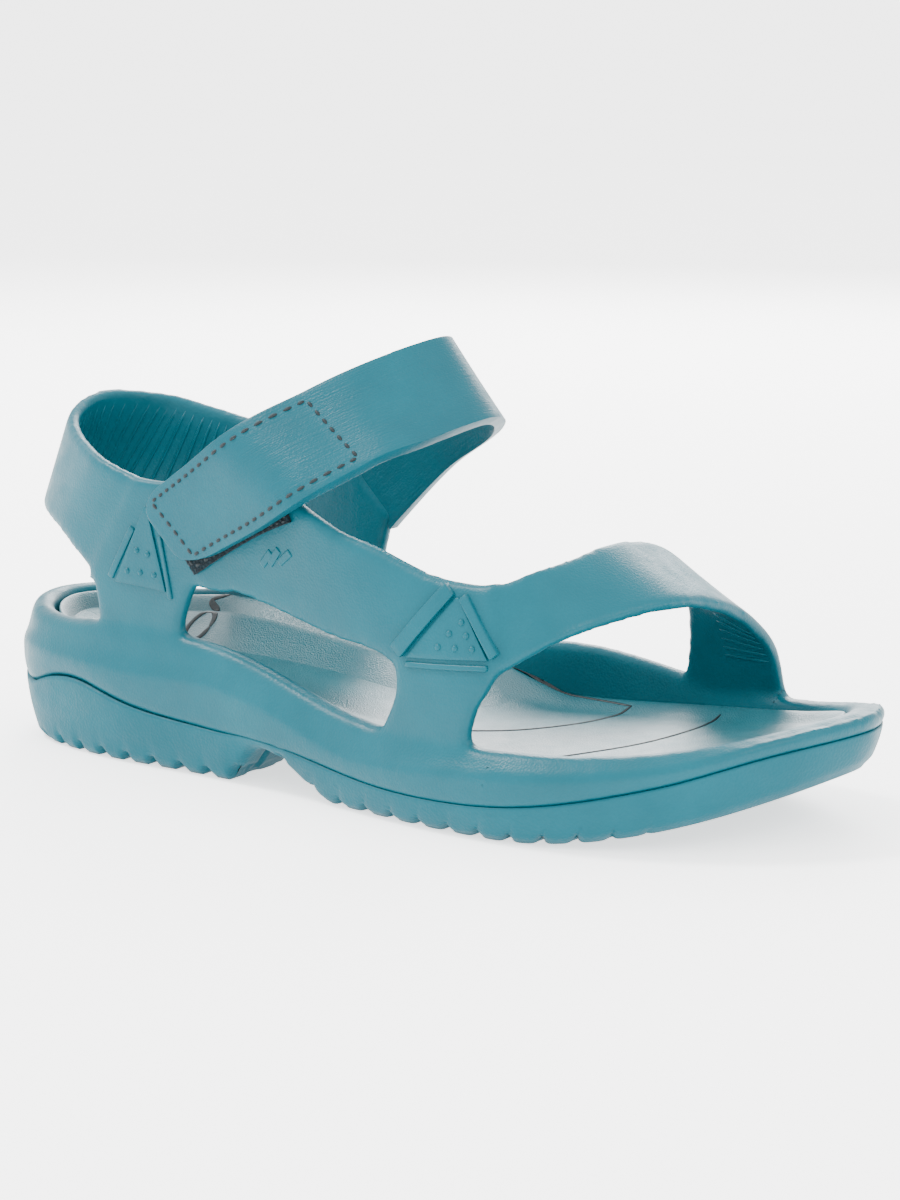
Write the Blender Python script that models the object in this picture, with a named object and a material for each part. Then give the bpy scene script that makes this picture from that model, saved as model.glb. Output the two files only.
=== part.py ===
"""Strappy sport sandal for the right foot: a moulded foam sole with three bands over the foot.

Metres, +Z up. The toe points along +X and the inner side of the foot is +Y. The origin is on
the ground under the middle of the sole's box. Places along the sole are stations, from 0 at the
heel's back to 1 at the toe's tip. Places across it are reaches, from -1 at the outer wall's
widest to +1 at the inner wall's widest. Heights of bands and posts are rises above the rim.
"""

import math

import bmesh
import bpy
from mathutils import Matrix
from mathutils import Vector

# ---------------------------------------------------------------- sizes (metres)
LENGTH = 0.288              # heel's back to toe's tip
BALL_REACH = 0.0555         # centre line to either wall at the ball of the foot
HEEL_REACH = 0.041          # centre line to the outer wall at the heel
TOE_SPRING = 0.0208         # how far the tip of the sole curls up off the ground
ARCH_LIFT = 0.0115          # height of the hollow between the heel's and the forefoot's tread
BOTTOM_INSET = 0.005        # the tread's edge, inside the widest outline
PARTING_INSET = 0.001       # the groove between outsole and midsole, inside the widest outline
RIM_INSET = 0.004           # the rim's outer edge, inside the widest outline
RIM_WIDTH = 0.0065          # width of the rim that the posts stand on
MEDIAL_RISE = 0.0125        # how far the inner arch wall stands above the rim's line
MEDIAL_CENTRE = 0.60        # station of the arch wall's highest point
MEDIAL_SPREAD = 0.136       # how far along the sole it fades, as a share of the length
TRAY_DRAFT = 0.001          # how far the tray's wall slopes in from the rim to its floor
FOOTBED_THICKNESS = 0.004
FOOTBED_CUP = 0.002         # how far the footbed's edge curls up
WALL_THICKNESS = 0.0045     # posts and ankle panels
OUTER_LEAN = 0.010          # how far the outer wall leans in at the front, at the rise below
LEAN_RISE = 0.045
BAND_THICKNESS = 0.004      # toe, instep and heel bands
TAPE_THICKNESS = 0.0011     # hook tape and loop tape, each
THREAD_WIDTH = 0.0009
THREAD_RISE = 0.0005        # how far a seam stands out of the face it is sewn on
SEAM_MARGIN = 0.003         # seam to the edge of the flap or tape
CROWN_HEIGHT = 0.0842       # rise of the instep band's front edge at its crest
TOE_CROWN = 0.038           # rise of the toe band's front edge at its crest
GAP = 0.0003                # clearance between neighbours

# Heights of the sole along the stations.
RIM = [(0, 0.044), (0.10, 0.041), (0.21, 0.043), (0.35, 0.0395), (0.52, 0.0275), (0.70, 0.0255),
       (0.87, 0.0285), (1, 0.0365)]
PARTING = [(0, 0.022), (0.13, 0.0235), (0.26, 0.0185), (0.45, 0.0145), (0.58, 0.0105), (0.73, 0.012),
           (0.87, 0.0205), (0.95, 0.028), (1, 0.031)]
CORE = [(0, 0.015), (0.25, 0.0145), (0.42, 0.0155), (0.56, 0.0085), (0.72, 0.0085), (0.86, 0.0145),
        (1, 0.029)]
FOOTBED = [(0, 0.031), (0.2, 0.0295), (0.35, 0.028), (0.52, 0.0225), (0.70, 0.0205), (0.87, 0.0245),
           (1, 0.0335)]

# The widest outline, as (station, reach), from the heel's back round the outer side and back.
OUTLINE = [(0, 0), (0.02, -0.45), (0.07, -0.77), (0.16, -0.95), (0.26, -0.99), (0.37, -0.965),
           (0.45, -0.945), (0.54, -0.955), (0.63, -0.98), (0.71, -0.995), (0.78, -0.94),
           (0.85, -0.80), (0.91, -0.59), (0.955, -0.31), (0.983, -0.06), (1, 0.235), (0.983, 0.53),
           (0.955, 0.69), (0.91, 0.82), (0.85, 0.93), (0.78, 0.985), (0.71, 0.95), (0.63, 0.845),
           (0.54, 0.74), (0.45, 0.70), (0.37, 0.74), (0.26, 0.85), (0.16, 0.87), (0.07, 0.74),
           (0.02, 0.45)]
SAMPLES_PER_POINT = 3

# The line inside the outline that the sole's faces close over.
SPINE_START = 0.09
SPINE_END = 0.90
SPINE_BOW = 0.008           # how far it bows towards the inner side at the toe

# Where the sole bends: the line's outer and inner ends, and its height just above both rims.
FLEX_OUTER = 0.705
FLEX_INNER = 0.850
FLEX_HEIGHT = 0.0305

# Lines in side view where neighbours meet, each as two (station, rise) marks.
SEAM_SIDE_FRONT = ((0.582, 0.0192), (0.682, 0.0437))
SEAM_TOE_OUTER = ((0.701, 0.0205), (0.682, 0.0437))
SEAM_TOE_INNER = ((0.838, 0.0127), (0.733, 0.0186))
SEAM_REAR_OUTER = ((0.165, 0.0138), (0.310, 0.0165))
SEAM_REAR_INNER = ((0.167, 0.0148), (0.386, 0.0190))
SEAM_SIDE_REAR = ((0.345, 0.0175), (0.430, 0.0580))
SEAM_HEEL = ((0.165, 0.0138), (0.235, 0.0450))
SEAM_STRAP_ROOT = ((0.400, 0.0350), (0.320, 0.0555))

# The tapes on the outer wall, each as its lower and its upper edge in (station, rise).
LOOP_TAPE = ([(0.312, 0.0225), (0.36, 0.0325), (0.41, 0.0425), (0.445, 0.0485)],
             [(0.252, 0.0385), (0.30, 0.0460), (0.36, 0.0545), (0.425, 0.0565)])
HOOK_TAPE = ([(0.314, 0.0262), (0.36, 0.0358), (0.405, 0.0445), (0.432, 0.0486)],
             [(0.270, 0.0380), (0.31, 0.0445), (0.35, 0.0500), (0.394, 0.0530)])

# Shares along the instep band: where its free end begins, where it bends open, and the split.
FLAP_SHARE = 0.275
BEND_SHARE = 0.53
BAND_SPLIT = 0.0015
HINGE_STAND_OFF = 0.0012    # how far outside the band's face its two bending lines run

COLORS = {
    "foam_upper": ((0.095, 0.33, 0.41), 0.42),
    "foam_outsole": ((0.085, 0.30, 0.375), 0.55),
    "foam_footbed": ((0.13, 0.34, 0.40), 0.38),
    "tape": ((0.02, 0.035, 0.05), 0.95),
    "thread": ((0.03, 0.10, 0.13), 0.8),
}


# ---------------------------------------------------------------- curves
def between(points, share):
    """A point at a share of the way along a smooth curve through the given points."""
    last = len(points) - 1
    place = min(max(share, 0.0), 1.0) * last
    index = min(int(place), last - 1)
    step = place - index
    here, ahead = Vector(points[index]), Vector(points[index + 1])
    before = Vector(points[index - 1]) if index else here * 2 - ahead
    after = Vector(points[index + 2]) if index + 2 <= last else ahead * 2 - here
    slope_in, slope_out = (ahead - before) / 2, (after - here) / 2
    rest = ahead - here
    cubic = slope_in + slope_out - rest * 2
    square = rest * 3 - slope_in * 2 - slope_out
    return here + slope_in * step + square * step ** 2 + cubic * step ** 3


def height_at(profile, station):
    """The height that a profile of (station, height) has at one station."""
    station = min(max(station, 0.0), 1.0)
    index = 0
    while index < len(profile) - 2 and profile[index + 1][0] < station:
        index += 1
    (low, start), (high, end) = profile[index], profile[index + 1]
    span = high - low
    chord = (end - start) / span
    before = slope_between(profile, index - 1, chord)
    after = slope_between(profile, index + 1, chord)
    slope_in, slope_out = (before + chord) / 2 * span, (after + chord) / 2 * span
    step = (station - low) / span
    cubic = slope_in + slope_out - 2 * (end - start)
    square = 3 * (end - start) - 2 * slope_in - slope_out
    return start + slope_in * step + square * step ** 2 + cubic * step ** 3


def slope_between(profile, index, default):
    """The slope of one stretch of a profile, or the default past either end."""
    if index < 0 or index + 1 >= len(profile):
        return default
    return (profile[index + 1][1] - profile[index][1]) / (profile[index + 1][0] - profile[index][0])


def smooth_step(low, high, value):
    """0 below low, 1 above high and a smooth rise between them."""
    share = min(max((value - low) / (high - low), 0.0), 1.0)
    return share * share * (3 - 2 * share)


def half_width(station):
    """The distance from the centre line that a reach of 1 stands for."""
    return HEEL_REACH + (BALL_REACH - HEEL_REACH) * smooth_step(0.25, 0.65, station)


def outline_ring(inset):
    """The sole's outline as (x, y, station) triples, moved in by inset.

    Its points come in pairs, one on each side, that share a station.
    """
    count = len(OUTLINE)
    ring = []
    for index in range(count):
        window = [OUTLINE[(index + step) % count] for step in (-1, 0, 1, 2)]
        points = [Vector((station, reach, 0)) for station, reach in window]
        for sample in range(SAMPLES_PER_POINT):
            point = between(points, (1 + sample / SAMPLES_PER_POINT) / 3)
            ring.append(Vector((point.x * LENGTH, point.y * half_width(point.x), point.x)))
    return [moved_in(ring, index, inset) for index in range(len(ring))]


def moved_in(ring, index, inset):
    """One point of a ring, moved towards the ring's inside."""
    along = ring[(index + 1) % len(ring)] - ring[index - 1]
    inward = Vector((-along.y, along.x)).normalized()
    point = ring[index]
    x, y = point.x + inward.x * inset, point.y + inward.y * inset
    return Vector((x, y, x / LENGTH))


def middle_of_box():
    """The middle of the outline's box, which the origin stands under."""
    ring = outline_ring(0)
    across = [point.y for point in ring]
    along = [point.x for point in ring]
    return Vector(((min(along) + max(along)) / 2, (min(across) + max(across)) / 2, 0))


def wall_reach(side, station):
    """How far the widest outline reaches on one side at a station."""
    if side < 0:
        points = OUTLINE[:16]
    else:
        points = [OUTLINE[0]] + OUTLINE[:14:-1]
    profile = [(place, abs(reach)) for place, reach in points if place < 0.99]
    return height_at(profile, station)


def rim_height(station, side=0):
    """The rim's height, with the raised arch wall on the inner side."""
    arch = math.exp(-((station - MEDIAL_CENTRE) / MEDIAL_SPREAD) ** 2) if side > 0 else 0.0
    return height_at(RIM, station) + MEDIAL_RISE * arch


def bottom_height(station):
    """The underside: flat heel and ball, a hollow arch between them and a curled-up toe."""
    toe = TOE_SPRING * (max(station - 0.70, 0.0) / 0.30) ** 2
    heel = 0.003 * (max(0.08 - station, 0.0) / 0.08) ** 2
    arch = ARCH_LIFT * smooth_step(0.345, 0.39, station) * (1 - smooth_step(0.40, 0.50, station))
    return toe + heel + arch


# ---------------------------------------------------------------- the wall that the posts follow
def wall_point(side, station, rise):
    """A point in the middle of the upright wall's thickness, on one side of the foot."""
    edge = wall_reach(side, station) * half_width(station) - RIM_INSET - WALL_THICKNESS / 2
    if side < 0:
        lean = OUTER_LEAN * smooth_step(0.45, 0.70, station)
        edge -= lean * (rise / LEAN_RISE) ** 2
    return Vector((station * LENGTH, side * edge, rim_height(station) + rise))


def foot_point(station, reach, rise):
    """A point given by its station, its reach and its rise above the rim's line."""
    return Vector((station * LENGTH, reach * half_width(station), rim_height(station) + rise))


# ---------------------------------------------------------------- mesh tools
def finish(name, shape, slot, collection):
    """Turn a bmesh into one named object with its own material."""
    bmesh.ops.translate(shape, verts=shape.verts, vec=-middle_of_box())
    bmesh.ops.recalc_face_normals(shape, faces=shape.faces)
    mesh = bpy.data.meshes.new(name)
    shape.to_mesh(mesh)
    shape.free()
    mesh.shade_smooth()
    mesh.set_sharp_from_angle(angle=math.radians(35))
    item = bpy.data.objects.new(name, mesh)
    item.data.materials.append(make_material(name, slot))
    collection.objects.link(item)
    return item


def make_material(name, slot):
    """A plain material in the piece's colour."""
    color, roughness = COLORS[slot]
    material = bpy.data.materials.new(name)
    material.use_nodes = True
    shader = material.node_tree.nodes["Principled BSDF"]
    shader.inputs["Base Color"].default_value = (*color, 1)
    shader.inputs["Roughness"].default_value = roughness
    shader.inputs["Metallic"].default_value = 0.0
    return material


def close_cuts(shape):
    """Fill the open edges that a cut has left."""
    edges = [edge for edge in shape.edges if edge.is_boundary]
    bmesh.ops.holes_fill(shape, edges=edges, sides=0)


def cut_away(shape, point, outward):
    """Remove what lies beyond a plane, and close the cut."""
    everything = shape.verts[:] + shape.edges[:] + shape.faces[:]
    bmesh.ops.bisect_plane(shape, geom=everything, dist=1e-7, plane_co=point, plane_no=outward,
                           clear_outer=True)
    close_cuts(shape)


def stack_of_rings(rings):
    """A closed solid skinned over rings of equal count, whose end rings shrink to a line.

    Neighbours that share a face split its squares along the same, shorter diagonals.
    """
    shape = bmesh.new()
    loops = [[shape.verts.new(point) for point in ring] for ring in rings]
    count = len(rings[0])
    for lower, upper in zip(loops, loops[1:]):
        for index in range(count):
            after = (index + 1) % count
            shape.faces.new((lower[index], lower[after], upper[after], upper[index]))
    bmesh.ops.remove_doubles(shape, verts=shape.verts, dist=1e-6)
    bmesh.ops.triangulate(shape, faces=shape.faces, quad_method="SHORT_EDGE")
    return shape


def sheet_solid(place, outward, thickness, columns, rows):
    """A closed solid from a sheet: place(u, v) is its middle, outward(u, v) its direction."""
    shape = bmesh.new()
    bmesh.ops.create_grid(shape, x_segments=columns, y_segments=rows, size=0.5)
    outer = {corner: (corner.co.x + 0.5, corner.co.y + 0.5) for corner in shape.verts}
    made = bmesh.ops.extrude_face_region(shape, geom=shape.faces[:])
    inner = {corner: (corner.co.x + 0.5, corner.co.y + 0.5) for corner in made["geom"]
             if isinstance(corner, bmesh.types.BMVert)}
    for corners, offset in ((outer, thickness / 2), (inner, -thickness / 2)):
        for corner, (u, v) in corners.items():
            corner.co = place(u, v) + outward(u, v) * offset
    return shape


# ---------------------------------------------------------------- sole
def sole_ring(inset, height):
    """A ring of the sole, whose height is a function of station and side."""
    ring = []
    for point in outline_ring(inset):
        ring.append(Vector((point.x, point.y, height(point.z, math.copysign(1, point.y)))))
    return ring


def shrunk_ring(inset, share, height):
    """A ring drawn in towards the sole's spine: share 0 is the spine itself."""
    ring = []
    for point, base in zip(outline_ring(inset), outline_ring(0)):
        station = min(max(base.z, SPINE_START), SPINE_END)
        spine = Vector((station * LENGTH, SPINE_BOW * smooth_step(0.6, 1.0, station)))
        x = spine.x + (point.x - spine.x) * share
        y = spine.y + (point.y - spine.y) * share
        ring.append(Vector((x, y, height(x / LENGTH, math.copysign(1, point.y)))))
    return ring


def closing_rings(inset, height):
    """The rings that close a solid's top or bottom over the sole's spine."""
    return [shrunk_ring(inset, share, height) for share in (0.7, 0.35, 0.0)]


def bottom(station, side):
    """The tread's height, for a ring."""
    return bottom_height(station)


def below_parting(station, side):
    """The outsole's upper edge at the wall."""
    return height_at(PARTING, station) - GAP / 2


def above_parting(station, side):
    """The midsole's lower edge at the wall."""
    return height_at(PARTING, station) + GAP / 2


def below_core(station, side):
    """The outsole's top inside the sole."""
    return height_at(CORE, station) - GAP / 2


def above_core(station, side):
    """The midsole's underside inside the sole."""
    return height_at(CORE, station) + GAP / 2


def waist(station, side):
    """The height at which the side wall is widest."""
    low = height_at(PARTING, station)
    return low + 0.35 * (height_at(RIM, station) - low)


def recess(station, side):
    """The floor that the footbed lies on."""
    return height_at(FOOTBED, station) - FOOTBED_THICKNESS - GAP * 1.5


def footbed_under(station, side):
    """The footbed's underside."""
    return height_at(FOOTBED, station) - FOOTBED_THICKNESS


def footbed_top(station, side):
    """The footbed's upper face, along its middle."""
    return height_at(FOOTBED, station)


def footbed_edge(station, side):
    """The footbed's upper face where it curls up against the rim."""
    return height_at(FOOTBED, station) + FOOTBED_CUP


def outsole_solid():
    """The whole outsole, before it is divided."""
    core_inset = BOTTOM_INSET + 0.006
    rings = closing_rings(core_inset, bottom)[::-1] + [sole_ring(core_inset, bottom)]
    rings += [sole_ring(BOTTOM_INSET, bottom), sole_ring(PARTING_INSET, below_parting)]
    rings += [sole_ring(core_inset, below_core)] + closing_rings(core_inset, below_core)
    return stack_of_rings(rings)


def midsole_solid():
    """The whole midsole: a tray with a raised rim."""
    core_inset = BOTTOM_INSET + 0.006
    rim_inner = RIM_INSET + RIM_WIDTH
    floor_inset = rim_inner + TRAY_DRAFT
    rings = closing_rings(core_inset, above_core)[::-1] + [sole_ring(core_inset, above_core)]
    rings += [sole_ring(PARTING_INSET, above_parting), sole_ring(0, waist)]
    rings += [sole_ring(RIM_INSET, rim_height), sole_ring(rim_inner, rim_height)]
    rings += [sole_ring(floor_inset, recess)] + closing_rings(floor_inset, recess)
    return stack_of_rings(rings)


def footbed_solid():
    """The whole footbed, which fills the midsole's tray."""
    inset = RIM_INSET + RIM_WIDTH + TRAY_DRAFT + GAP
    rings = closing_rings(inset, footbed_under)[::-1] + [sole_ring(inset, footbed_under)]
    rings += [sole_ring(inset, footbed_edge)] + closing_rings(inset, footbed_top)
    return stack_of_rings(rings)


def flex_line():
    """The two ends of the line that the sole bends on."""
    outer = Vector((FLEX_OUTER * LENGTH, -half_width(FLEX_OUTER), FLEX_HEIGHT))
    inner = Vector((FLEX_INNER * LENGTH, half_width(FLEX_INNER), FLEX_HEIGHT))
    return outer, inner


def divide_at_flex(solid, forward):
    """Keep the toe's part or the rest of a sole solid."""
    outer, inner = flex_line()
    along = inner - outer
    ahead = Vector((along.y, -along.x, 0)).normalized()
    if forward:
        cut_away(solid, outer + ahead * GAP / 2, -ahead)
    else:
        cut_away(solid, outer - ahead * GAP / 2, ahead)
    return solid


def make_sole(collection):
    """The sole's seven pieces."""
    arch = Vector((0.395 * LENGTH, 0, 0))
    ahead = Vector((1, 0, 0))
    heel = outsole_solid()
    cut_away(heel, arch - ahead * GAP / 2, ahead)
    forefoot = divide_at_flex(outsole_solid(), False)
    cut_away(forefoot, arch + ahead * GAP / 2, -ahead)
    return [
        finish("outsole_heel", heel, "foam_outsole", collection),
        finish("outsole_forefoot", forefoot, "foam_outsole", collection),
        finish("outsole_toe", divide_at_flex(outsole_solid(), True), "foam_outsole", collection),
        finish("midsole", divide_at_flex(midsole_solid(), False), "foam_upper", collection),
        finish("midsole_toe", divide_at_flex(midsole_solid(), True), "foam_upper", collection),
        finish("footbed", divide_at_flex(footbed_solid(), False), "foam_footbed", collection),
        finish("footbed_toe", divide_at_flex(footbed_solid(), True), "foam_footbed", collection),
    ]


# ---------------------------------------------------------------- posts and panels
def wall_patch(side, first, second, columns=4, rows=8, offset=0.0, thickness=WALL_THICKNESS):
    """A piece of upright wall between two opposite edges, each a list of (station, rise)."""
    def place(u, v):
        start = between([(station, rise, 0) for station, rise in first], v)
        end = between([(station, rise, 0) for station, rise in second], v)
        spot = start.lerp(end, u)
        foot = rim_height(spot.x, side) - rim_height(spot.x) + GAP
        return wall_point(side, spot.x, max(spot.y, foot)) + Vector((0, side * offset, 0))

    def outward(u, v):
        return Vector((0, side, 0))

    return sheet_solid(place, outward, thickness, columns, rows)


def seam_point(mark):
    """The place in side view of a (station, rise) mark."""
    return Vector((mark[0] * LENGTH, 0, rim_height(mark[0]) + mark[1]))


def cut_at_seam(shape, seam, keep):
    """Trim a piece at the upright plane through a seam, on the side away from the keep mark."""
    start, end = seam_point(seam[0]), seam_point(seam[1])
    along = end - start
    across = Vector((along.z, 0, -along.x)).normalized()
    if across.dot(seam_point(keep) - start) > 0:
        across = -across
    cut_away(shape, start - across * GAP / 2, across)


def make_outer_side(collection):
    """The posts, the side strap and the ankle panel on the outer side."""
    front_post = wall_patch(-1, [(0.567, 0), (0.585, 0.0125), (0.580, 0.024), (0.600, 0.045)],
                            [(0.676, 0), (0.683, 0.010), (0.703, 0.021), (0.720, 0.045)])
    cut_at_seam(front_post, SEAM_SIDE_FRONT, (0.63, 0.010))
    cut_at_seam(front_post, SEAM_TOE_OUTER, (0.63, 0.010))

    side_strap = wall_patch(-1, [(0.31, 0.0170), (0.384, 0.0189), (0.491, 0.0209), (0.562, 0.0210),
                                 (0.62, 0.0130)],
                            [(0.39, 0.0590), (0.483, 0.0530), (0.545, 0.0503), (0.625, 0.0447),
                             (0.73, 0.0440)], columns=4, rows=12)
    cut_at_seam(side_strap, SEAM_SIDE_REAR, (0.50, 0.035))
    cut_at_seam(side_strap, SEAM_SIDE_FRONT, (0.50, 0.035))

    rear_post = wall_patch(-1, [(0.174, 0), (0.165, 0.0138), (0.163, 0.024)],
                           [(0.285, 0), (0.294, 0.0100), (0.318, 0.024)])
    cut_at_seam(rear_post, SEAM_REAR_OUTER, (0.25, 0.005))

    panel = wall_patch(-1, [(0.12, 0.0118), (0.25, 0.0145), (0.40, 0.0180)],
                       [(0.18, 0.0470), (0.235, 0.0450), (0.27, 0.0455), (0.31, 0.0495),
                        (0.36, 0.0565), (0.46, 0.0590)], columns=6, rows=12)
    cut_at_seam(panel, SEAM_REAR_OUTER, (0.30, 0.030))
    cut_at_seam(panel, SEAM_HEEL, (0.30, 0.030))
    cut_at_seam(panel, SEAM_SIDE_REAR, (0.30, 0.030))
    return [
        finish("lateral_front_post", front_post, "foam_upper", collection),
        finish("lateral_side_strap", side_strap, "foam_upper", collection),
        finish("lateral_rear_post", rear_post, "foam_upper", collection),
        finish("lateral_ankle_panel", panel, "foam_upper", collection),
    ]


def make_inner_side(collection):
    """The posts and the ankle panel on the inner side."""
    front_post = band_solid(toe_face, 0.72, 1, 5, 6)
    cut_at_seam(front_post, SEAM_TOE_INNER, (0.78, 0.004))

    rear_post = wall_patch(1, [(0.176, 0), (0.167, 0.0148), (0.165, 0.024)],
                           [(0.375, 0), (0.383, 0.0120), (0.388, 0.024)])
    cut_at_seam(rear_post, SEAM_REAR_INNER, (0.27, 0.005))

    panel = wall_patch(1, [(0.12, 0.0125), (0.26, 0.0150), (0.386, 0.0180)],
                       [(0.15, 0.0580), (0.26, 0.0540), (0.42, 0.0560)], columns=6, rows=12)
    cut_at_seam(panel, SEAM_REAR_INNER, (0.28, 0.030))
    cut_at_seam(panel, SEAM_HEEL, (0.28, 0.030))
    cut_at_seam(panel, SEAM_STRAP_ROOT, (0.28, 0.030))
    return [
        finish("medial_front_post", front_post, "foam_upper", collection),
        finish("medial_rear_post", rear_post, "foam_upper", collection),
        finish("medial_ankle_panel", panel, "foam_upper", collection),
    ]


# ---------------------------------------------------------------- bands over the foot
def band_solid(place, start, end, columns, rows, depth=0.0, thickness=BAND_THICKNESS,
               low=0.0, high=1.0):
    """A stretch of a band whose outer face is place(u, v): v runs along it, u across it."""
    def shares(u, v):
        return low + (high - low) * u, start + (end - start) * v

    def middle(u, v):
        across, along = shares(u, v)
        return place(across, along) - facing(place, across, along) * (depth + thickness / 2)

    def outward(u, v):
        return facing(place, *shares(u, v))

    return sheet_solid(middle, outward, thickness, columns, rows)


def facing(place, across, along):
    """The outward direction of a band's face."""
    step = 0.004
    over = place(min(across + step, 1), along) - place(max(across - step, 0), along)
    ahead = place(across, min(along + step, 1)) - place(across, max(along - step, 0))
    return over.cross(ahead).normalized()


def toe_face(u, v):
    """The toe band's outer face: v from the outer side to the inner side, u from rear to front."""
    front = between([(0.668, -0.93, 0.0135), (0.701, -0.86, 0.0205), (0.747, -0.76, 0.0295),
                     (0.785, -0.50, TOE_CROWN - 0.0030), (0.819, -0.22, TOE_CROWN),
                     (0.830, 0.05, TOE_CROWN - 0.0015), (0.836, 0.32, TOE_CROWN - 0.0060),
                     (0.838, 0.56, TOE_CROWN - 0.0125), (0.838, 0.78, 0.0160),
                     (0.838, 0.893, 0.0032)], v)
    rear = between([(0.655, -0.87, 0.0390), (0.682, -0.76, 0.0437), (0.712, -0.61, 0.0483),
                    (0.729, -0.40, TOE_CROWN + 0.0129), (0.738, -0.15, TOE_CROWN + 0.0145),
                    (0.739, 0.12, TOE_CROWN + 0.0125), (0.743, 0.41, TOE_CROWN + 0.0085),
                    (0.746, 0.66, TOE_CROWN - 0.0035), (0.735, 0.80, 0.0186),
                    (0.724, 0.86, 0.0076)], v)
    return foot_point(*rear.lerp(front, u))


def heel_face(u, v):
    """The heel band's outer face: v from the inner side round the back to the outer, u down."""
    low = between([(0.215, 0.78, 0.0090), (0.167, 0.775, 0.0148), (0.103, 0.64, 0.0240),
                   (0.0413, 0.36, 0.0289), (0.0247, 0.00, 0.0292), (0.0392, -0.375, 0.0292),
                   (0.102, -0.71, 0.0265), (0.165, -0.85, 0.0148), (0.215, -0.88, 0.0080)], v)
    top = between([(0.275, 0.77, 0.0530), (0.208, 0.77, 0.0545), (0.158, 0.73, 0.0585),
                   (0.104, 0.60, 0.0633), (0.0649, 0.138, 0.0651), (0.0753, -0.3366, 0.0602),
                   (0.141, -0.70, 0.0530), (0.193, -0.84, 0.0475), (0.275, -0.89, 0.0420)], v)
    return foot_point(*top.lerp(low, u))


def over_wall(station, rise, stand_off):
    """A point outside the outer wall, a stand-off away from its outer face."""
    return wall_point(-1, station, rise) - Vector((0, WALL_THICKNESS / 2 + stand_off, 0))


def instep_face(u, v):
    """The instep band's outer face: v from free end over the foot to root, u rear to front."""
    front = between([(0.3175, 0, 0.0227), (0.4185, -0.90, 0.0446), (0.518, -0.68, 0.0714),
                     (0.563, -0.366, CROWN_HEIGHT - 0.0045), (0.588, 0.028, CROWN_HEIGHT),
                     (0.549, 0.427, CROWN_HEIGHT - 0.0076), (0.472, 0.640, 0.0594),
                     (0.409, 0.634, 0.0354), (0.378, 0.649, 0.0222)], v)
    rear = between([(0.2525, 0, 0.0391), (0.3305, -0.89, 0.0571), (0.427, -0.649, 0.0828),
                    (0.4875, -0.334, CROWN_HEIGHT + 0.0134), (0.526, 0.041, CROWN_HEIGHT + 0.0207),
                    (0.4854, 0.405, CROWN_HEIGHT + 0.0118), (0.4043, 0.630, 0.0775),
                    (0.320, 0.695, 0.0559), (0.285, 0.726, 0.0462)], v)
    spot = rear.lerp(front, u)
    stand_off = TAPE_THICKNESS * 2 + GAP * 4 + BAND_THICKNESS
    closed = over_wall(spot.x, spot.z, stand_off)
    return closed.lerp(foot_point(*spot), smooth_step(0.14, 0.26, v))


def make_bands(collection):
    """The toe, heel and instep bands. The instep band's free end is a piece of its own."""
    toe = band_solid(toe_face, 0, 1, 5, 28)
    cut_at_seam(toe, SEAM_TOE_OUTER, (0.78, 0.030))
    cut_at_seam(toe, SEAM_TOE_INNER, (0.78, 0.040))
    heel = band_solid(heel_face, 0, 1, 5, 28)
    cut_at_seam(heel, SEAM_HEEL, (0.08, 0.040))
    inner = band_solid(instep_face, BEND_SHARE + BAND_SPLIT, 1, 5, 18)
    cut_at_seam(inner, SEAM_STRAP_ROOT, (0.50, 0.090))
    outer = band_solid(instep_face, FLAP_SHARE + BAND_SPLIT, BEND_SHARE, 5, 12)
    flap = band_solid(instep_face, 0, FLAP_SHARE, 5, 14)
    return [
        finish("toe_strap", toe, "foam_upper", collection),
        finish("heel_strap", heel, "foam_upper", collection),
        finish("instep_strap_inner", inner, "foam_upper", collection),
        finish("instep_strap_outer", outer, "foam_upper", collection),
        finish("instep_flap", flap, "foam_upper", collection),
    ]


# ---------------------------------------------------------------- tapes and thread
def seam_loop(place, outward, width_share, length_share, margin, depth):
    """A closed ribbon of thread along the edges of a face, standing out of it."""
    low_u, high_u = margin / width_share, 1 - margin / width_share
    low_v, high_v = margin / length_share, 1 - margin / length_share
    half_u = THREAD_WIDTH / 2 / width_share
    half_v = THREAD_WIDTH / 2 / length_share
    shape = bmesh.new()
    rounds = []
    for grow, height in ((-1, GAP), (1, GAP), (1, GAP + THREAD_RISE), (-1, GAP + THREAD_RISE)):
        box = (low_u - grow * half_u, high_u + grow * half_u,
               low_v - grow * half_v, high_v + grow * half_v)
        rounds.append([shape.verts.new(place(u, v) + outward(u, v) * (height + depth))
                       for u, v in walk_round(*box)])
    count = len(rounds[0])
    for lower, upper in zip(rounds, rounds[1:] + rounds[:1]):
        for index in range(count):
            after = (index + 1) % count
            shape.faces.new((lower[index], lower[after], upper[after], upper[index]))
    return shape


def walk_round(low_u, high_u, low_v, high_v, steps=8):
    """Points round a rectangle, as (u, v) pairs."""
    corners = [(low_u, low_v), (high_u, low_v), (high_u, high_v), (low_u, high_v)]
    walk = []
    for (u, v), (next_u, next_v) in zip(corners, corners[1:] + corners[:1]):
        for step in range(steps):
            share = step / steps
            walk.append((u + (next_u - u) * share, v + (next_v - v) * share))
    return walk


def tape_face(edges):
    """The function that gives the outer wall's face inside a tape's lower and upper edges."""
    lower, upper = edges

    def face(u, v):
        start = between([(station, rise, 0) for station, rise in lower], v)
        end = between([(station, rise, 0) for station, rise in upper], v)
        spot = start.lerp(end, u)
        return over_wall(spot.x, spot.y, 0)

    return face


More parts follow.
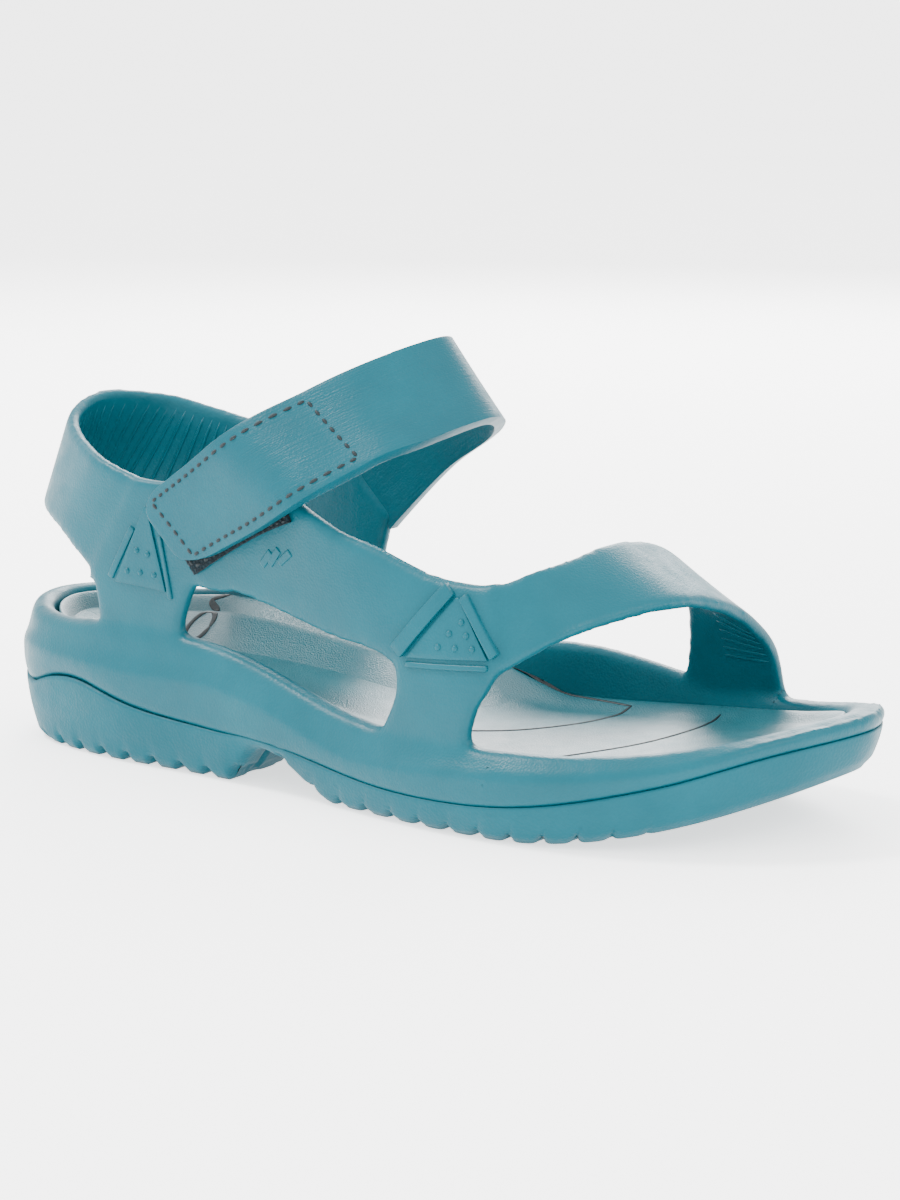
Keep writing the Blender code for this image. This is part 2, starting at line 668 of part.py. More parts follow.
def make_closure(collection):
    """The two tapes and the thread that holds them."""
    outside = Vector((0, -1, 0))
    wall_face = WALL_THICKNESS / 2 + GAP
    loop = wall_patch(-1, *LOOP_TAPE, columns=4, rows=8, thickness=TAPE_THICKNESS,
                      offset=wall_face + TAPE_THICKNESS / 2)
    hook = wall_patch(-1, *HOOK_TAPE, columns=4, rows=8, thickness=TAPE_THICKNESS,
                      offset=wall_face + TAPE_THICKNESS * 1.5 + GAP * 2)

    def flap_part(u, v):
        return instep_face(u, v * FLAP_SHARE)

    def flap_facing(u, v):
        return facing(instep_face, u, v * FLAP_SHARE)

    hook_seam = seam_loop(flap_part, flap_facing, 0.036, 0.080, SEAM_MARGIN, GAP)
    loop_seam = seam_loop(tape_face(LOOP_TAPE), lambda u, v: outside, 0.022, 0.050,
                          SEAM_MARGIN * 0.4, GAP + TAPE_THICKNESS)
    return [
        finish("hook_tape", hook, "tape", collection),
        finish("loop_tape", loop, "tape", collection),
        finish("hook_stitching", hook_seam, "thread", collection),
        finish("loop_stitching", loop_seam, "thread", collection),
    ]


# ---------------------------------------------------------------- motion
def add_axis(name, first, second, collection, parent=None):
    """An empty on a joint's axis, its Z along the axis from first to second."""
    empty = bpy.data.objects.new(name, None)
    collection.objects.link(empty)
    turn = (second - first).to_track_quat("Z", "Y").to_matrix().to_4x4()
    empty.matrix_world = Matrix.Translation((first + second) / 2 - middle_of_box()) @ turn
    if parent:
        attach(empty, parent)
    return empty


def attach(child, parent):
    """Parent an object and leave it where it is."""
    bpy.context.view_layer.update()
    place = child.matrix_world.copy()
    child.parent = parent
    child.matrix_parent_inverse = parent.matrix_world.inverted()
    child.matrix_world = place


def bend_line(share):
    """The line across the instep band, just outside its face, that it bends on."""
    return [instep_face(u, share) + facing(instep_face, u, share) * HINGE_STAND_OFF for u in (1, 0)]


def make_axes(collection, pieces):
    """The three hinge axes, with their pieces parented to them."""
    outer, inner = flex_line()
    toe_axis = add_axis("axis_toe_flex", inner, outer, collection)
    strap_axis = add_axis("axis_strap_open", *bend_line(BEND_SHARE), collection)
    flap_axis = add_axis("axis_flap_peel", *bend_line(FLAP_SHARE), collection, strap_axis)
    moving = {
        toe_axis: ("outsole_toe", "midsole_toe", "footbed_toe"),
        strap_axis: ("instep_strap_outer",),
        flap_axis: ("instep_flap", "hook_tape", "hook_stitching"),
    }
    for axis, names in moving.items():
        for name in names:
            attach(pieces[name], axis)


def clear_scene():
    """Remove whatever the file holds."""
    for item in list(bpy.data.objects):
        bpy.data.objects.remove(item, do_unlink=True)


def main():
    """Build the sandal."""
    clear_scene()
    collection = bpy.data.collections.new("strappy_sport_sandal")
    bpy.context.scene.collection.children.link(collection)
    made = make_sole(collection) + make_outer_side(collection) + make_inner_side(collection)
    made += make_bands(collection) + make_closure(collection)
    make_axes(collection, {item.name: item for item in made})


main()
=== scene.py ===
"""The looks of a strappy sport sandal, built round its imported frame.

The sandal is one foam moulding (sole wall, posts, side strap and bands), a footbed, a lugged
outsole, an instep strap that folds open on hook and loop tape, and the thread that holds them.
"""

import logging
import math
from dataclasses import dataclass
from enum import Enum
from functools import lru_cache
from typing import Callable, Iterable, List, Optional, Sequence, Tuple

import bmesh
import bpy
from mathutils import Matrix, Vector
from mathutils.bvhtree import BVHTree
from mathutils.kdtree import KDTree

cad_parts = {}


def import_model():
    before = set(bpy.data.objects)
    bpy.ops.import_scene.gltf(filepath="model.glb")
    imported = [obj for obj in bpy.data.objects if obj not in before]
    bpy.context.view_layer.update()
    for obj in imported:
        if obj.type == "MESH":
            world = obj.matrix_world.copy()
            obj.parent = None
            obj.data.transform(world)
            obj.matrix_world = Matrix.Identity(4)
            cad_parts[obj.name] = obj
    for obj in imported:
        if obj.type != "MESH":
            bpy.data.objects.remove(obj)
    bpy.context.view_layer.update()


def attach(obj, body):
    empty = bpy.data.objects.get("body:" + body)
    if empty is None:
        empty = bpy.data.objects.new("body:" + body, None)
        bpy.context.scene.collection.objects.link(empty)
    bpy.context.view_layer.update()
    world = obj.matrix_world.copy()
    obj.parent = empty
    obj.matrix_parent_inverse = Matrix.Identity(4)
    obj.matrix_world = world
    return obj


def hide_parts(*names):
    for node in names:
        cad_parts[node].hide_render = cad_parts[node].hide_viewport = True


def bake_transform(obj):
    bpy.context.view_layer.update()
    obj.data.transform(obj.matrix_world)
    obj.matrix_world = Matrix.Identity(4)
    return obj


LOG = logging.getLogger("sandal")
SHARP = math.radians(50)
Spot = Tuple[float, ...]
Profile = Tuple[Tuple[float, float], ...]
Face = Callable[[float, float], Vector]
Color = Tuple[float, float, float]


# ---------------------------------------------------------------- curves
def between(points: Sequence[Spot], share: float) -> Vector:
    """A point on a smooth curve through some points.

    Args:
        points: the points that the curve passes.
        share: how far along it, from 0 to 1.

    Returns:
        The point.
    """
    last = len(points) - 1
    place = min(max(share, 0.0), 1.0) * last
    index = min(int(place), last - 1)
    step = place - index
    here, ahead = Vector(points[index]), Vector(points[index + 1])
    before = Vector(points[index - 1]) if index else here * 2 - ahead
    after = Vector(points[index + 2]) if index + 2 <= last else ahead * 2 - here
    slope_in, slope_out = (ahead - before) / 2, (after - here) / 2
    rest = ahead - here
    cubic = slope_in + slope_out - rest * 2
    square = rest * 3 - slope_in * 2 - slope_out
    return here + slope_in * step + square * step ** 2 + cubic * step ** 3


def flat_curve(marks: Sequence[Spot], share: float) -> Vector:
    """A point on the smooth curve through some flat marks."""
    return between([(*mark, 0) for mark in marks], share)


def smooth_step(low: float, high: float, value: float) -> float:
    """A smooth rise from 0 at low to 1 at high.

    Args:
        low: where the rise begins.
        high: where it ends.
        value: the place to read.

    Returns:
        The rise there.
    """
    share = min(max((value - low) / (high - low), 0.0), 1.0)
    return share * share * (3 - 2 * share)


def fall(value: float, high: float) -> float:
    """A smooth fall from 1 at nothing to 0 at a height."""
    return 1 - smooth_step(0.0, high, value)


def height_at(profile: Profile, station: float) -> float:
    """The height of a smooth profile at one station.

    Args:
        profile: pairs of station and height.
        station: the share of the sole's length, from the heel.

    Returns:
        The height in metres.
    """
    def slope(index: int, default: float) -> float:
        """The slope of one stretch, or the default past either end."""
        if index < 0 or index + 1 >= len(profile):
            return default
        (low, start), (high, end) = profile[index], profile[index + 1]
        return (end - start) / (high - low)

    station = min(max(station, 0.0), 1.0)
    index = 0
    while index < len(profile) - 2 and profile[index + 1][0] < station:
        index += 1
    (low, start), (high, end) = profile[index], profile[index + 1]
    span = high - low
    chord = (end - start) / span
    slope_in = (slope(index - 1, chord) + chord) / 2 * span
    slope_out = (slope(index + 1, chord) + chord) / 2 * span
    step = (station - low) / span
    cubic = slope_in + slope_out - 2 * (end - start)
    square = 3 * (end - start) - 2 * slope_in - slope_out
    return start + slope_in * step + square * step ** 2 + cubic * step ** 3


class Level(Enum):
    """The heights that the sole's lines follow."""

    BOTTOM = "bottom"
    PARTING = "parting"
    CREST = "crest"
    RIM = "rim"
    FOOTBED = "footbed"
    CORE = "core"


class Side(Enum):
    """The two sides of the foot."""

    OUTER = -1
    INNER = 1


@dataclass(frozen=True)
class Last:
    """The form that every piece of the sandal follows. Lengths are in metres, from the heel."""

    length: float = 0.288
    ball_reach: float = 0.0555
    heel_reach: float = 0.041
    toe_spring: float = 0.0208
    arch_lift: float = 0.0115
    rim_inset: float = 0.004
    wall: float = 0.0045
    outer_lean: float = 0.010
    lean_rise: float = 0.045
    medial_rise: float = 0.0125
    middle: Spot = (0.1440, -0.00029, 0.0)
    toe_from: float = 0.70
    heel_curl: Spot = (0.08, 0.003)
    arch_start: Spot = (.345, .39)
    arch_end: Spot = (.40, .50)
    medial_arch: Spot = (.60, .136)
    wave_dip: Spot = (0.060, 0.030, 0.0028)
    wave_swell: Spot = (0.145, 0.050, 0.0022)
    rim: Profile = ((0, .044), (.10, .041), (.21, .043), (.35, .0395), (.52, .0275), (.70, .0255),
                    (.87, .0285), (1, .0365))
    parting: Profile = ((0, .022), (.13, .0235), (.26, .0185), (.45, .0145), (.58, .0105),
                        (.73, .012), (.87, .0205), (.95, .028), (1, .031))
    crest: Profile = ((0, .0318), (.12, .0312), (.233, .0302), (.34, .0300), (.406, .0268),
                      (.458, .0222), (.503, .0184), (.556, .0168), (.61, .0174), (.6875, .0192),
                      (.75, .0204), (.83, .0226), (.90, .0262), (.95, .0306), (1, .0338))
    footbed: Profile = ((0, .031), (.2, .0295), (.35, .028), (.52, .0225), (.70, .0205),
                        (.87, .0245), (1, .0335))
    core: Profile = ((0, .015), (.25, .0145), (.42, .0155), (.56, .0085), (.72, .0085),
                     (.86, .0145), (1, .029))
    outline: Profile = (
        (0, 0), (.02, -.45), (.07, -.77), (.16, -.95), (.26, -.99), (.37, -.965), (.45, -.945),
        (.54, -.955), (.63, -.98), (.71, -.995), (.78, -.94), (.85, -.80), (.91, -.59),
        (.955, -.31), (.983, -.06), (1, .235), (.983, .53), (.955, .69), (.91, .82), (.85, .93),
        (.78, .985), (.71, .95), (.63, .845), (.54, .74), (.45, .70), (.37, .74), (.26, .85),
        (.16, .87), (.07, .74), (.02, .45))

    def half_width(self, station: float) -> float:
        """The distance from the centre line that a reach of 1 stands for."""
        wider = (self.ball_reach - self.heel_reach) * smooth_step(.25, .65, station)
        return self.heel_reach + wider

    @lru_cache(maxsize=None)
    def edge(self, around: float) -> Tuple[Vector, Vector]:
        """A point on the outline and the direction inwards from it.

        Args:
            around: the share of the way round the outline.

        Returns:
            The point and the inward direction, both flat.
        """
        def spot(place: float) -> Vector:
            """The outline's point at a place counted in control points."""
            count = len(self.outline)
            index = math.floor(place)
            window = [(*self.outline[(index + step) % count], 0.0) for step in (-1, 0, 1, 2)]
            point = between(window, (1 + place - index) / 3)
            return Vector((point.x * self.length, point.y * self.half_width(point.x), 0))

        place = around * len(self.outline)
        along = spot(place + 0.3) - spot(place - 0.3)
        return spot(place), Vector((-along.y, along.x, 0)).normalized()

    def edge_point(self, around: float, inset: float) -> Vector:
        """A point of the outline moved inwards."""
        point, inward = self.edge(around)
        return point + inward * inset

    def wall_reach(self, side: Side, station: float) -> float:
        """How far the outline reaches on one side, as a share of the half width."""
        if side is Side.OUTER:
            points = self.outline[:16]
        else:
            points = (self.outline[0],) + self.outline[:14:-1]
        profile = tuple((place, abs(reach)) for place, reach in points if place < 0.99)
        return height_at(profile, station)

    def wave(self, station: float) -> float:
        """The dip and the swell of the parting line by the heel."""
        def hump(place: float, width: float, depth: float) -> float:
            """A bell of a depth at a place."""
            return depth * math.exp(-((station - place) / width) ** 2)

        return hump(*self.wave_swell) - hump(*self.wave_dip)

    def level(self, name: Level, station: float, side: int = 0) -> float:
        """The height of one of the sole's lines.

        Args:
            name: the line.
            station: the share of the sole's length.
            side: below 0 on the outer side and above 0 on the inner side.

        Returns:
            The height in metres.
        """
        if name is Level.BOTTOM:
            toe = (max(station - self.toe_from, 0.0) / (1 - self.toe_from)) ** 2
            heel_end, heel_lift = self.heel_curl
            heel = heel_lift * (max(heel_end - station, 0.0) / heel_end) ** 2
            front = smooth_step(*self.arch_start, station)
            back = smooth_step(*self.arch_end, station)
            return self.toe_spring * toe + heel + self.arch_lift * front * (1 - back)
        if name is Level.RIM:
            middle, width = self.medial_arch
            arch = math.exp(-((station - middle) / width) ** 2) if side > 0 else 0.0
            return height_at(self.rim, station) + self.medial_rise * arch
        height = height_at(getattr(self, name.value), station)
        return height + self.wave(station) if name is Level.PARTING else height

    def wall_point(self, side: Side, station: float, rise: float, out: float = 0.0) -> Vector:
        """A point in the upright wall, or some way outside its middle.

        Args:
            side: the side of the foot.
            station: the share of the sole's length.
            rise: the height above the rim's line.
            out: the distance outside the middle of the wall.

        Returns:
            The point.
        """
        edge = self.wall_reach(side, station) * self.half_width(station)
        edge -= self.rim_inset + self.wall / 2 - out
        if side is Side.OUTER:
            lean = self.outer_lean * smooth_step(.45, .70, station)
            edge -= lean * (rise / self.lean_rise) ** 2
        height = self.level(Level.RIM, station) + rise
        return Vector((station * self.length, side.value * edge, height))

    def foot_point(self, station: float, reach: float, rise: float) -> Vector:
        """A point given by its station, its reach and its rise above the rim's line."""
        height = self.level(Level.RIM, station) + rise
        return Vector((station * self.length, reach * self.half_width(station), height))

    def spine(self, station: float) -> Vector:
        """The sole's middle line, seen from above."""
        station = min(max(station, .09), .90)
        return Vector((station * self.length, 0.008 * smooth_step(.6, 1, station), 0))

    def in_frame(self, point: Sequence[float]) -> Vector:
        """A point of the form, in the frame that the bodies stand in."""
        return Vector(point) - Vector(self.middle)


# ---------------------------------------------------------------- mesh tools
def skin(place: Face, columns: int, rows: int) -> bmesh.types.BMesh:
    """A grid laid over a surface.

    Args:
        place: gives each corner from its two shares.
        columns: how many faces the first share has.
        rows: how many faces the second share has.

    Returns:
        The mesh, with corners that meet merged.
    """
    shape = bmesh.new()
    bmesh.ops.create_grid(shape, x_segments=columns, y_segments=rows, size=0.5)
    for corner in shape.verts:
        corner.co = place(round(corner.co.x + 0.5, 6), round(corner.co.y + 0.5, 6))
    bmesh.ops.remove_doubles(shape, verts=shape.verts, dist=1e-6)
    return shape


def slab(place: Face, outward: Face, thickness: float, columns: int,
         rows: int) -> bmesh.types.BMesh:
    """A solid of even thickness whose outer face lies on a surface.

    Args:
        place: the outer face.
        outward: the face's direction.
        thickness: the distance to the inner face.
        columns: faces across.
        rows: faces along.

    Returns:
        The closed mesh.
    """
    shape = bmesh.new()
    bmesh.ops.create_grid(shape, x_segments=columns, y_segments=rows, size=0.5)
    outer = {corner: (corner.co.x + 0.5, corner.co.y + 0.5) for corner in shape.verts}
    made = bmesh.ops.extrude_face_region(shape, geom=shape.faces[:])
    inner = {corner: (corner.co.x + 0.5, corner.co.y + 0.5) for corner in made["geom"]
             if isinstance(corner, bmesh.types.BMVert)}
    for corners, depth in ((outer, 0.0), (inner, thickness)):
        for corner, (across, along) in corners.items():
            corner.co = place(across, along) - outward(across, along) * depth
    bmesh.ops.recalc_face_normals(shape, faces=shape.faces)
    return shape


def round_edges(shape: bmesh.types.BMesh, radius: float, segments: int = 3,
                skip: Sequence[bmesh.types.BMFace] = ()) -> None:
    """Round the edges where a slab's faces meet its rim.

    Args:
        shape: the slab.
        radius: how far the rounding reaches.
        segments: faces round it.
        skip: rim faces that keep their sharp edges.
    """
    kept = set(skip)
    sharp = [edge for edge in shape.edges
             if len(edge.link_faces) == 2 and edge.calc_face_angle(0) > SHARP
             and not kept.intersection(edge.link_faces)]
    bmesh.ops.bevel(shape, geom=sharp, offset=radius, offset_type="OFFSET", segments=segments,
                    profile=0.5, affect="EDGES", clamp_overlap=True, material=-1)


def close_holes(shape: bmesh.types.BMesh) -> None:
    """Cover every open edge loop with a face."""
    bmesh.ops.holes_fill(shape, edges=[edge for edge in shape.edges if edge.is_boundary], sides=0)


def cut_off(shape: bmesh.types.BMesh, point: Vector, outward: Vector) -> None:
    """Remove what lies beyond a plane, and close the cut."""
    everything = shape.verts[:] + shape.edges[:] + shape.faces[:]
    bmesh.ops.bisect_plane(shape, geom=everything, dist=1e-7, plane_co=point, plane_no=outward,
                           clear_outer=True)
    close_holes(shape)


def facing(place: Face, across: float, along: float) -> Vector:
    """The outward direction of a band's face."""
    step = 0.004
    over = place(min(across + step, 1), along) - place(max(across - step, 0), along)
    ahead = place(across, min(along + step, 1)) - place(across, max(along - step, 0))
    return over.cross(ahead).normalized()


def merged(parts: Iterable[bmesh.types.BMesh]) -> bmesh.types.BMesh:
    """Several meshes as one mesh."""
    whole = bmesh.new()
    for part in parts:
        mesh = bpy.data.meshes.new("part")
        part.to_mesh(mesh)
        part.free()
        whole.from_mesh(mesh)
        bpy.data.meshes.remove(mesh)
    return whole


def stand(name: str, shape: bmesh.types.BMesh, last: Last) -> bpy.types.Object:
    """A mesh made an object, in place, with its faces turned outwards.

    Args:
        name: the piece's name.
        shape: the mesh, which is used up.
        last: the form it was built on.

    Returns:
        The object, at the origin.
    """
    bmesh.ops.translate(shape, verts=shape.verts, vec=-Vector(last.middle))
    bmesh.ops.recalc_face_normals(shape, faces=shape.faces)
    mesh = bpy.data.meshes.new(name)
    shape.to_mesh(mesh)
    shape.free()
    mesh.shade_smooth()
    piece = bpy.data.objects.new(name, mesh)
    bpy.context.scene.collection.objects.link(piece)
    return piece


def lay_lines(piece: bpy.types.Object, place: Face, start: float, end: float,
              last: Last) -> None:
    """Give a band's mesh the way along and across it, which its fine lines follow.

    Args:
        piece: the band.
        place: its outer face.
        start: the share along the face where it starts.
        end: the share where it ends.
        last: the form it was built on.
    """
    rows, columns, wide, long = 160, 20, 0.036, 0.24
    spots = []
    for row in range(rows + 1):
        along = start + (end - start) * row / rows
        for column in range(columns + 1):
            across = column / columns
            spots.append((last.in_frame(place(across, along)), (across * wide, along * long, 0)))
    tree = KDTree(len(spots))
    for index, (point, _) in enumerate(spots):
        tree.insert(point, index)
    tree.balance()
    attribute = piece.data.attributes.new("lay", "FLOAT_VECTOR", "POINT")
    for index, corner in enumerate(piece.data.vertices):
        found = tree.find_n(corner.co, 4)
        weights = [1 / (distance + 1e-5) for _, _, distance in found]
        mean = Vector((0, 0, 0))
        for (_, number, _), weight in zip(found, weights):
            mean += Vector(spots[number][1]) * weight
        attribute.data[index].vector = mean / sum(weights)


def fuse(piece: bpy.types.Object, voxel: float, rounds: int) -> None:
    """Melt overlapping solids into one skin with soft edges.

    Args:
        piece: the object whose mesh is changed.
        voxel: the size of the skin's faces.
        rounds: how often the skin is smoothed.
    """
    remesh = piece.modifiers.new("melt", "REMESH")
    remesh.mode = "VOXEL"
    remesh.voxel_size = voxel
    remesh.use_smooth_shade = True
    graph = bpy.context.evaluated_depsgraph_get()
    mesh = bpy.data.meshes.new_from_object(piece.evaluated_get(graph))
    piece.modifiers.clear()
    shape = bmesh.new()
    shape.from_mesh(mesh)
    for _ in range(rounds):
        bmesh.ops.smooth_vert(shape, verts=shape.verts, factor=0.5, use_axis_x=True,
                              use_axis_y=True, use_axis_z=True)
    shape.to_mesh(mesh)
    shape.free()
    piece.data = mesh
    piece.data.shade_smooth()


# ---------------------------------------------------------------- finishes
class Shader:
    """A material's nodes, one call for each."""

    def __init__(self, name: str) -> None:
        """Start an empty material with a surface shader.

        Args:
            name: the material's name.
        """
        self.material = bpy.data.materials.new(name)
        self.material.use_nodes = True
        self.nodes = self.material.node_tree.nodes
        self.links = self.material.node_tree.links
        self.surface = self.nodes["Principled BSDF"]
        self.place = self.nodes.new("ShaderNodeTexCoord").outputs["Object"]

    def lay(self) -> bpy.types.NodeSocket:
        """The way across and along a band."""
        node = self.nodes.new("ShaderNodeAttribute")
        node.attribute_name = "lay"
        return node.outputs["Vector"]

    def scaled(self, size: Spot, turn: Spot = (0, 0, 0),
               at: Optional[bpy.types.NodeSocket] = None) -> bpy.types.NodeSocket:
        """The piece's coordinates, stretched and turned."""
        node = self.nodes.new("ShaderNodeMapping")
        node.inputs["Scale"].default_value = size
        node.inputs["Rotation"].default_value = turn
        self.links.new(at or self.place, node.inputs["Vector"])
        return node.outputs["Vector"]

    def noise(self, scale: float, detail: float = 3.0, rough: float = 0.5,
              at: Optional[bpy.types.NodeSocket] = None) -> bpy.types.NodeSocket:
        """A noise pattern.

        Args:
            scale: cells in a metre.
            detail: octaves of finer noise.
            rough: how strong the finer noise is.
            at: the coordinates, or None for the piece's own.

        Returns:
            The pattern's value.
        """
        node = self.nodes.new("ShaderNodeTexNoise")
        node.inputs["Scale"].default_value = scale
        node.inputs["Detail"].default_value = detail
        node.inputs["Roughness"].default_value = rough
        self.links.new(at or self.place, node.inputs["Vector"])
        return node.outputs["Fac"]

    def cells(self, scale: float) -> bpy.types.NodeSocket:
        """A pebbled pattern, as the distance to the nearest cell."""
        node = self.nodes.new("ShaderNodeTexVoronoi")
        node.inputs["Scale"].default_value = scale
        self.links.new(self.place, node.inputs["Vector"])
        return node.outputs["Distance"]

    def spread(self, value: bpy.types.NodeSocket, low: float, high: float, start: float,
               end: float) -> bpy.types.NodeSocket:
        """A value moved from one range to another."""
        node = self.nodes.new("ShaderNodeMapRange")
        for name, number in (("From Min", low), ("From Max", high), ("To Min", start),
                             ("To Max", end)):
            node.inputs[name].default_value = number
        self.links.new(value, node.inputs["Value"])
        return node.outputs["Result"]

    def ramp(self, value: bpy.types.NodeSocket,
             stops: Sequence[Tuple[float, Color]]) -> bpy.types.NodeSocket:
        """Colours along a value."""
        node = self.nodes.new("ShaderNodeValToRGB")
        ends = node.color_ramp.elements
        for index, (place, color) in enumerate(stops):
            stop = ends[index] if index < 2 else ends.new(place)
            stop.position = place
            stop.color = (*color, 1)
        self.links.new(value, node.inputs["Fac"])
        return node.outputs["Color"]

    def blend(self, share: bpy.types.NodeSocket, first: bpy.types.NodeSocket,
              second: bpy.types.NodeSocket) -> bpy.types.NodeSocket:
        """Two colours mixed by a share."""
        node = self.nodes.new("ShaderNodeMix")
        node.data_type = "RGBA"
        self.links.new(share, node.inputs["Factor"])
        self.links.new(first, node.inputs["A"])
        self.links.new(second, node.inputs["B"])
        return node.outputs["Result"]

    def relief(self, *heights: Tuple[bpy.types.NodeSocket, float]) -> None:
        """Raise and lower the surface.

        Args:
            heights: each pattern with its depth in metres.
        """
        below: Optional[bpy.types.NodeSocket] = None
        for value, depth in heights:
            node = self.nodes.new("ShaderNodeBump")
            node.inputs["Strength"].default_value = 1.0
            node.inputs["Distance"].default_value = depth
            self.links.new(value, node.inputs["Height"])
            if below:
                self.links.new(below, node.inputs["Normal"])
            below = node.outputs["Normal"]
        if below:
            self.links.new(below, self.surface.inputs["Normal"])

    def set(self, **numbers: float) -> None:
        """Set the surface's own sockets, named with underscores for spaces."""
        for name, number in numbers.items():
            self.surface.inputs[name.replace("_", " ")].default_value = number

    def feed(self, name: str, value: bpy.types.NodeSocket) -> None:
        """Link a pattern to one of the surface's sockets."""
        self.links.new(value, self.surface.inputs[name])


@dataclass(frozen=True)
class FoamFinish:
    """Moulded foam: satin, faintly mottled, with the mould's fine grain."""

    name: str
    deep: Color
    light: Color
    grain: float = 1400.0
    grain_depth: float = 0.00006
    shine: Tuple[float, float] = (0.34, 0.46)
    specular: float = 0.17
    coat: float = 0.0
    lines: Spot = (40, 40, 900)
    line_depth: float = 0.00003
    along_band: bool = False

    def make(self) -> bpy.types.Material:
        """The material."""
        shader = Shader(self.name)
        cloud = shader.noise(42, 4, 0.55)
        speck = shader.noise(900, 2, 0.6)
        tone = shader.blend(shader.spread(speck, 0.35, 0.65, 0.0, 0.35),
                            shader.ramp(cloud, ((0.30, self.deep), (0.70, self.light))),
                            shader.ramp(speck, ((0.2, self.light), (0.8, self.deep))))
        shader.feed("Base Color", tone)
        shader.feed("Roughness", shader.spread(shader.noise(160, 3), 0.3, 0.7, *self.shine))
        way = shader.lay() if self.along_band else None
        streaks = shader.noise(1.0, 3, 0.6, at=shader.scaled(self.lines, at=way))
        shader.relief((shader.noise(110, 2), 0.00012), (shader.cells(self.grain), self.grain_depth),
                      (streaks, self.line_depth))
        shader.set(Specular_IOR_Level=self.specular, Coat_Weight=self.coat, Coat_Roughness=0.42)
        return shader.material


@dataclass(frozen=True)
class TapeFinish:
    """Hook and loop tape: dark, matt and fuzzy."""

    name: str
    deep: Color
    light: Color
    pitch: float = 900.0

    def make(self) -> bpy.types.Material:
        """The material."""
        shader = Shader(self.name)
        tuft = shader.cells(self.pitch)
        shader.feed("Base Color", shader.ramp(tuft, ((0.1, self.light), (0.7, self.deep))))
        shader.relief((tuft, 0.0004), (shader.noise(2600, 2), 0.0002))
        shader.set(Roughness=0.92, Specular_IOR_Level=0.2, Sheen_Weight=0.04, Sheen_Roughness=0.5)
        return shader.material


@dataclass(frozen=True)
class ThreadFinish:
    """Twisted polyester thread."""

    name: str
    deep: Color
    light: Color

    def make(self) -> bpy.types.Material:
        """The material."""
        shader = Shader(self.name)
        twist = shader.noise(5200, 2, at=shader.scaled((1, 1, 0.4), (0.5, 0.3, 0.9)))
        shader.feed("Base Color", shader.ramp(twist, ((0.3, self.deep), (0.7, self.light))))
        shader.relief((twist, 0.0001))
        shader.set(Roughness=0.62, Specular_IOR_Level=0.35)
        return shader.material


@dataclass(frozen=True)
class InkAndGrooveShadeFinish:
    """The dark print, and painted shade for the shadowed floor of a thin groove in the footbed."""

    name: str
    deep: Color
    light: Color

    def make(self) -> bpy.types.Material:
        """The material."""
        shader = Shader(self.name)
        mottling = shader.noise(700, 4, 0.6)
        shader.feed("Base Color", shader.ramp(mottling, ((0.35, self.deep), (0.75, self.light))))
        shader.feed("Roughness", shader.spread(mottling, 0.3, 0.7, 0.45, 0.7))
        shader.relief((shader.noise(1800, 2), 0.00005))
        return shader.material


UPPER_FOAM = FoamFinish("upper_foam", (0.0, 0.060, 0.082), (0.0003, 0.074, 0.100))
STRAP_FOAM = FoamFinish("strap_foam", (0.0, 0.054, 0.075), (0.0003, 0.068, 0.093),
                        lines=(1700, 45, 1), line_depth=0.00014, along_band=True)
TREAD_FOAM = FoamFinish("tread_foam", (0.0, 0.060, 0.082), (0.0004, 0.074, 0.100), 1100.0,
                        0.00008, (0.44, 0.56), 0.14)
BED_FOAM = FoamFinish("bed_foam", (0.0020, 0.066, 0.086), (0.0040, 0.086, 0.108), 2000.0, 0.00013,
                      (0.36, 0.46), 0.62, 0.12)
DARK_TAPE = TapeFinish("dark_tape", (0.0004, 0.005, 0.008), (0.0010, 0.012, 0.018))
SEAM_THREAD = ThreadFinish("seam_thread", (0.0002, 0.003, 0.005), (0.0008, 0.010, 0.014))
# Dark print on the footbed, and painted shade for the floors of its grooves.
INK_AND_GROOVE_SHADE = InkAndGrooveShadeFinish("ink_and_groove_shade", (0.0008, 0.005, 0.007), (0.0016, 0.010, 0.013))


def dress(piece: bpy.types.Object, material: bpy.types.Material) -> None:
    """Give a piece its material."""
    piece.data.materials.clear()
    piece.data.materials.append(material)


def report(piece: bpy.types.Object) -> None:
    """Log a piece's name and size."""
    triangles = sum(len(face.vertices) - 2 for face in piece.data.polygons)
    LOG.info("%s: %d triangles", piece.name, triangles)


# ---------------------------------------------------------------- the flex of the sole
@dataclass(frozen=True)
class SoleFlex:
    """Where the sole bends behind the toes."""

    last: Last
    outer_station: float = 0.705
    inner_station: float = 0.850
    height: float = 0.0305
    reach: float = 0.026

    def ends(self) -> Tuple[Vector, Vector]:
        """The flex line's outer and inner ends."""
        last = self.last
        outer, inner = self.outer_station, self.inner_station
        return (Vector((outer * last.length, -last.half_width(outer), self.height)),
                Vector((inner * last.length, last.half_width(inner), self.height)))

    def ahead(self) -> Vector:
        """The flat direction across the line, towards the toes."""
        outer, inner = self.ends()
        along = inner - outer
        return Vector((along.y, -along.x, 0)).normalized()

    def distance(self, point: Vector) -> float:
        """How far a point lies ahead of the line."""
        return (point - self.ends()[0]).dot(self.ahead())

    def bend(self, piece: bpy.types.Object) -> None:
        """Bake a piece of the sole's transform into its mesh."""
        outer, inner = self.ends()
        middle = self.last.in_frame((outer + inner) / 2)
        middle + self.ahead() * self.reach
        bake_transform(piece)


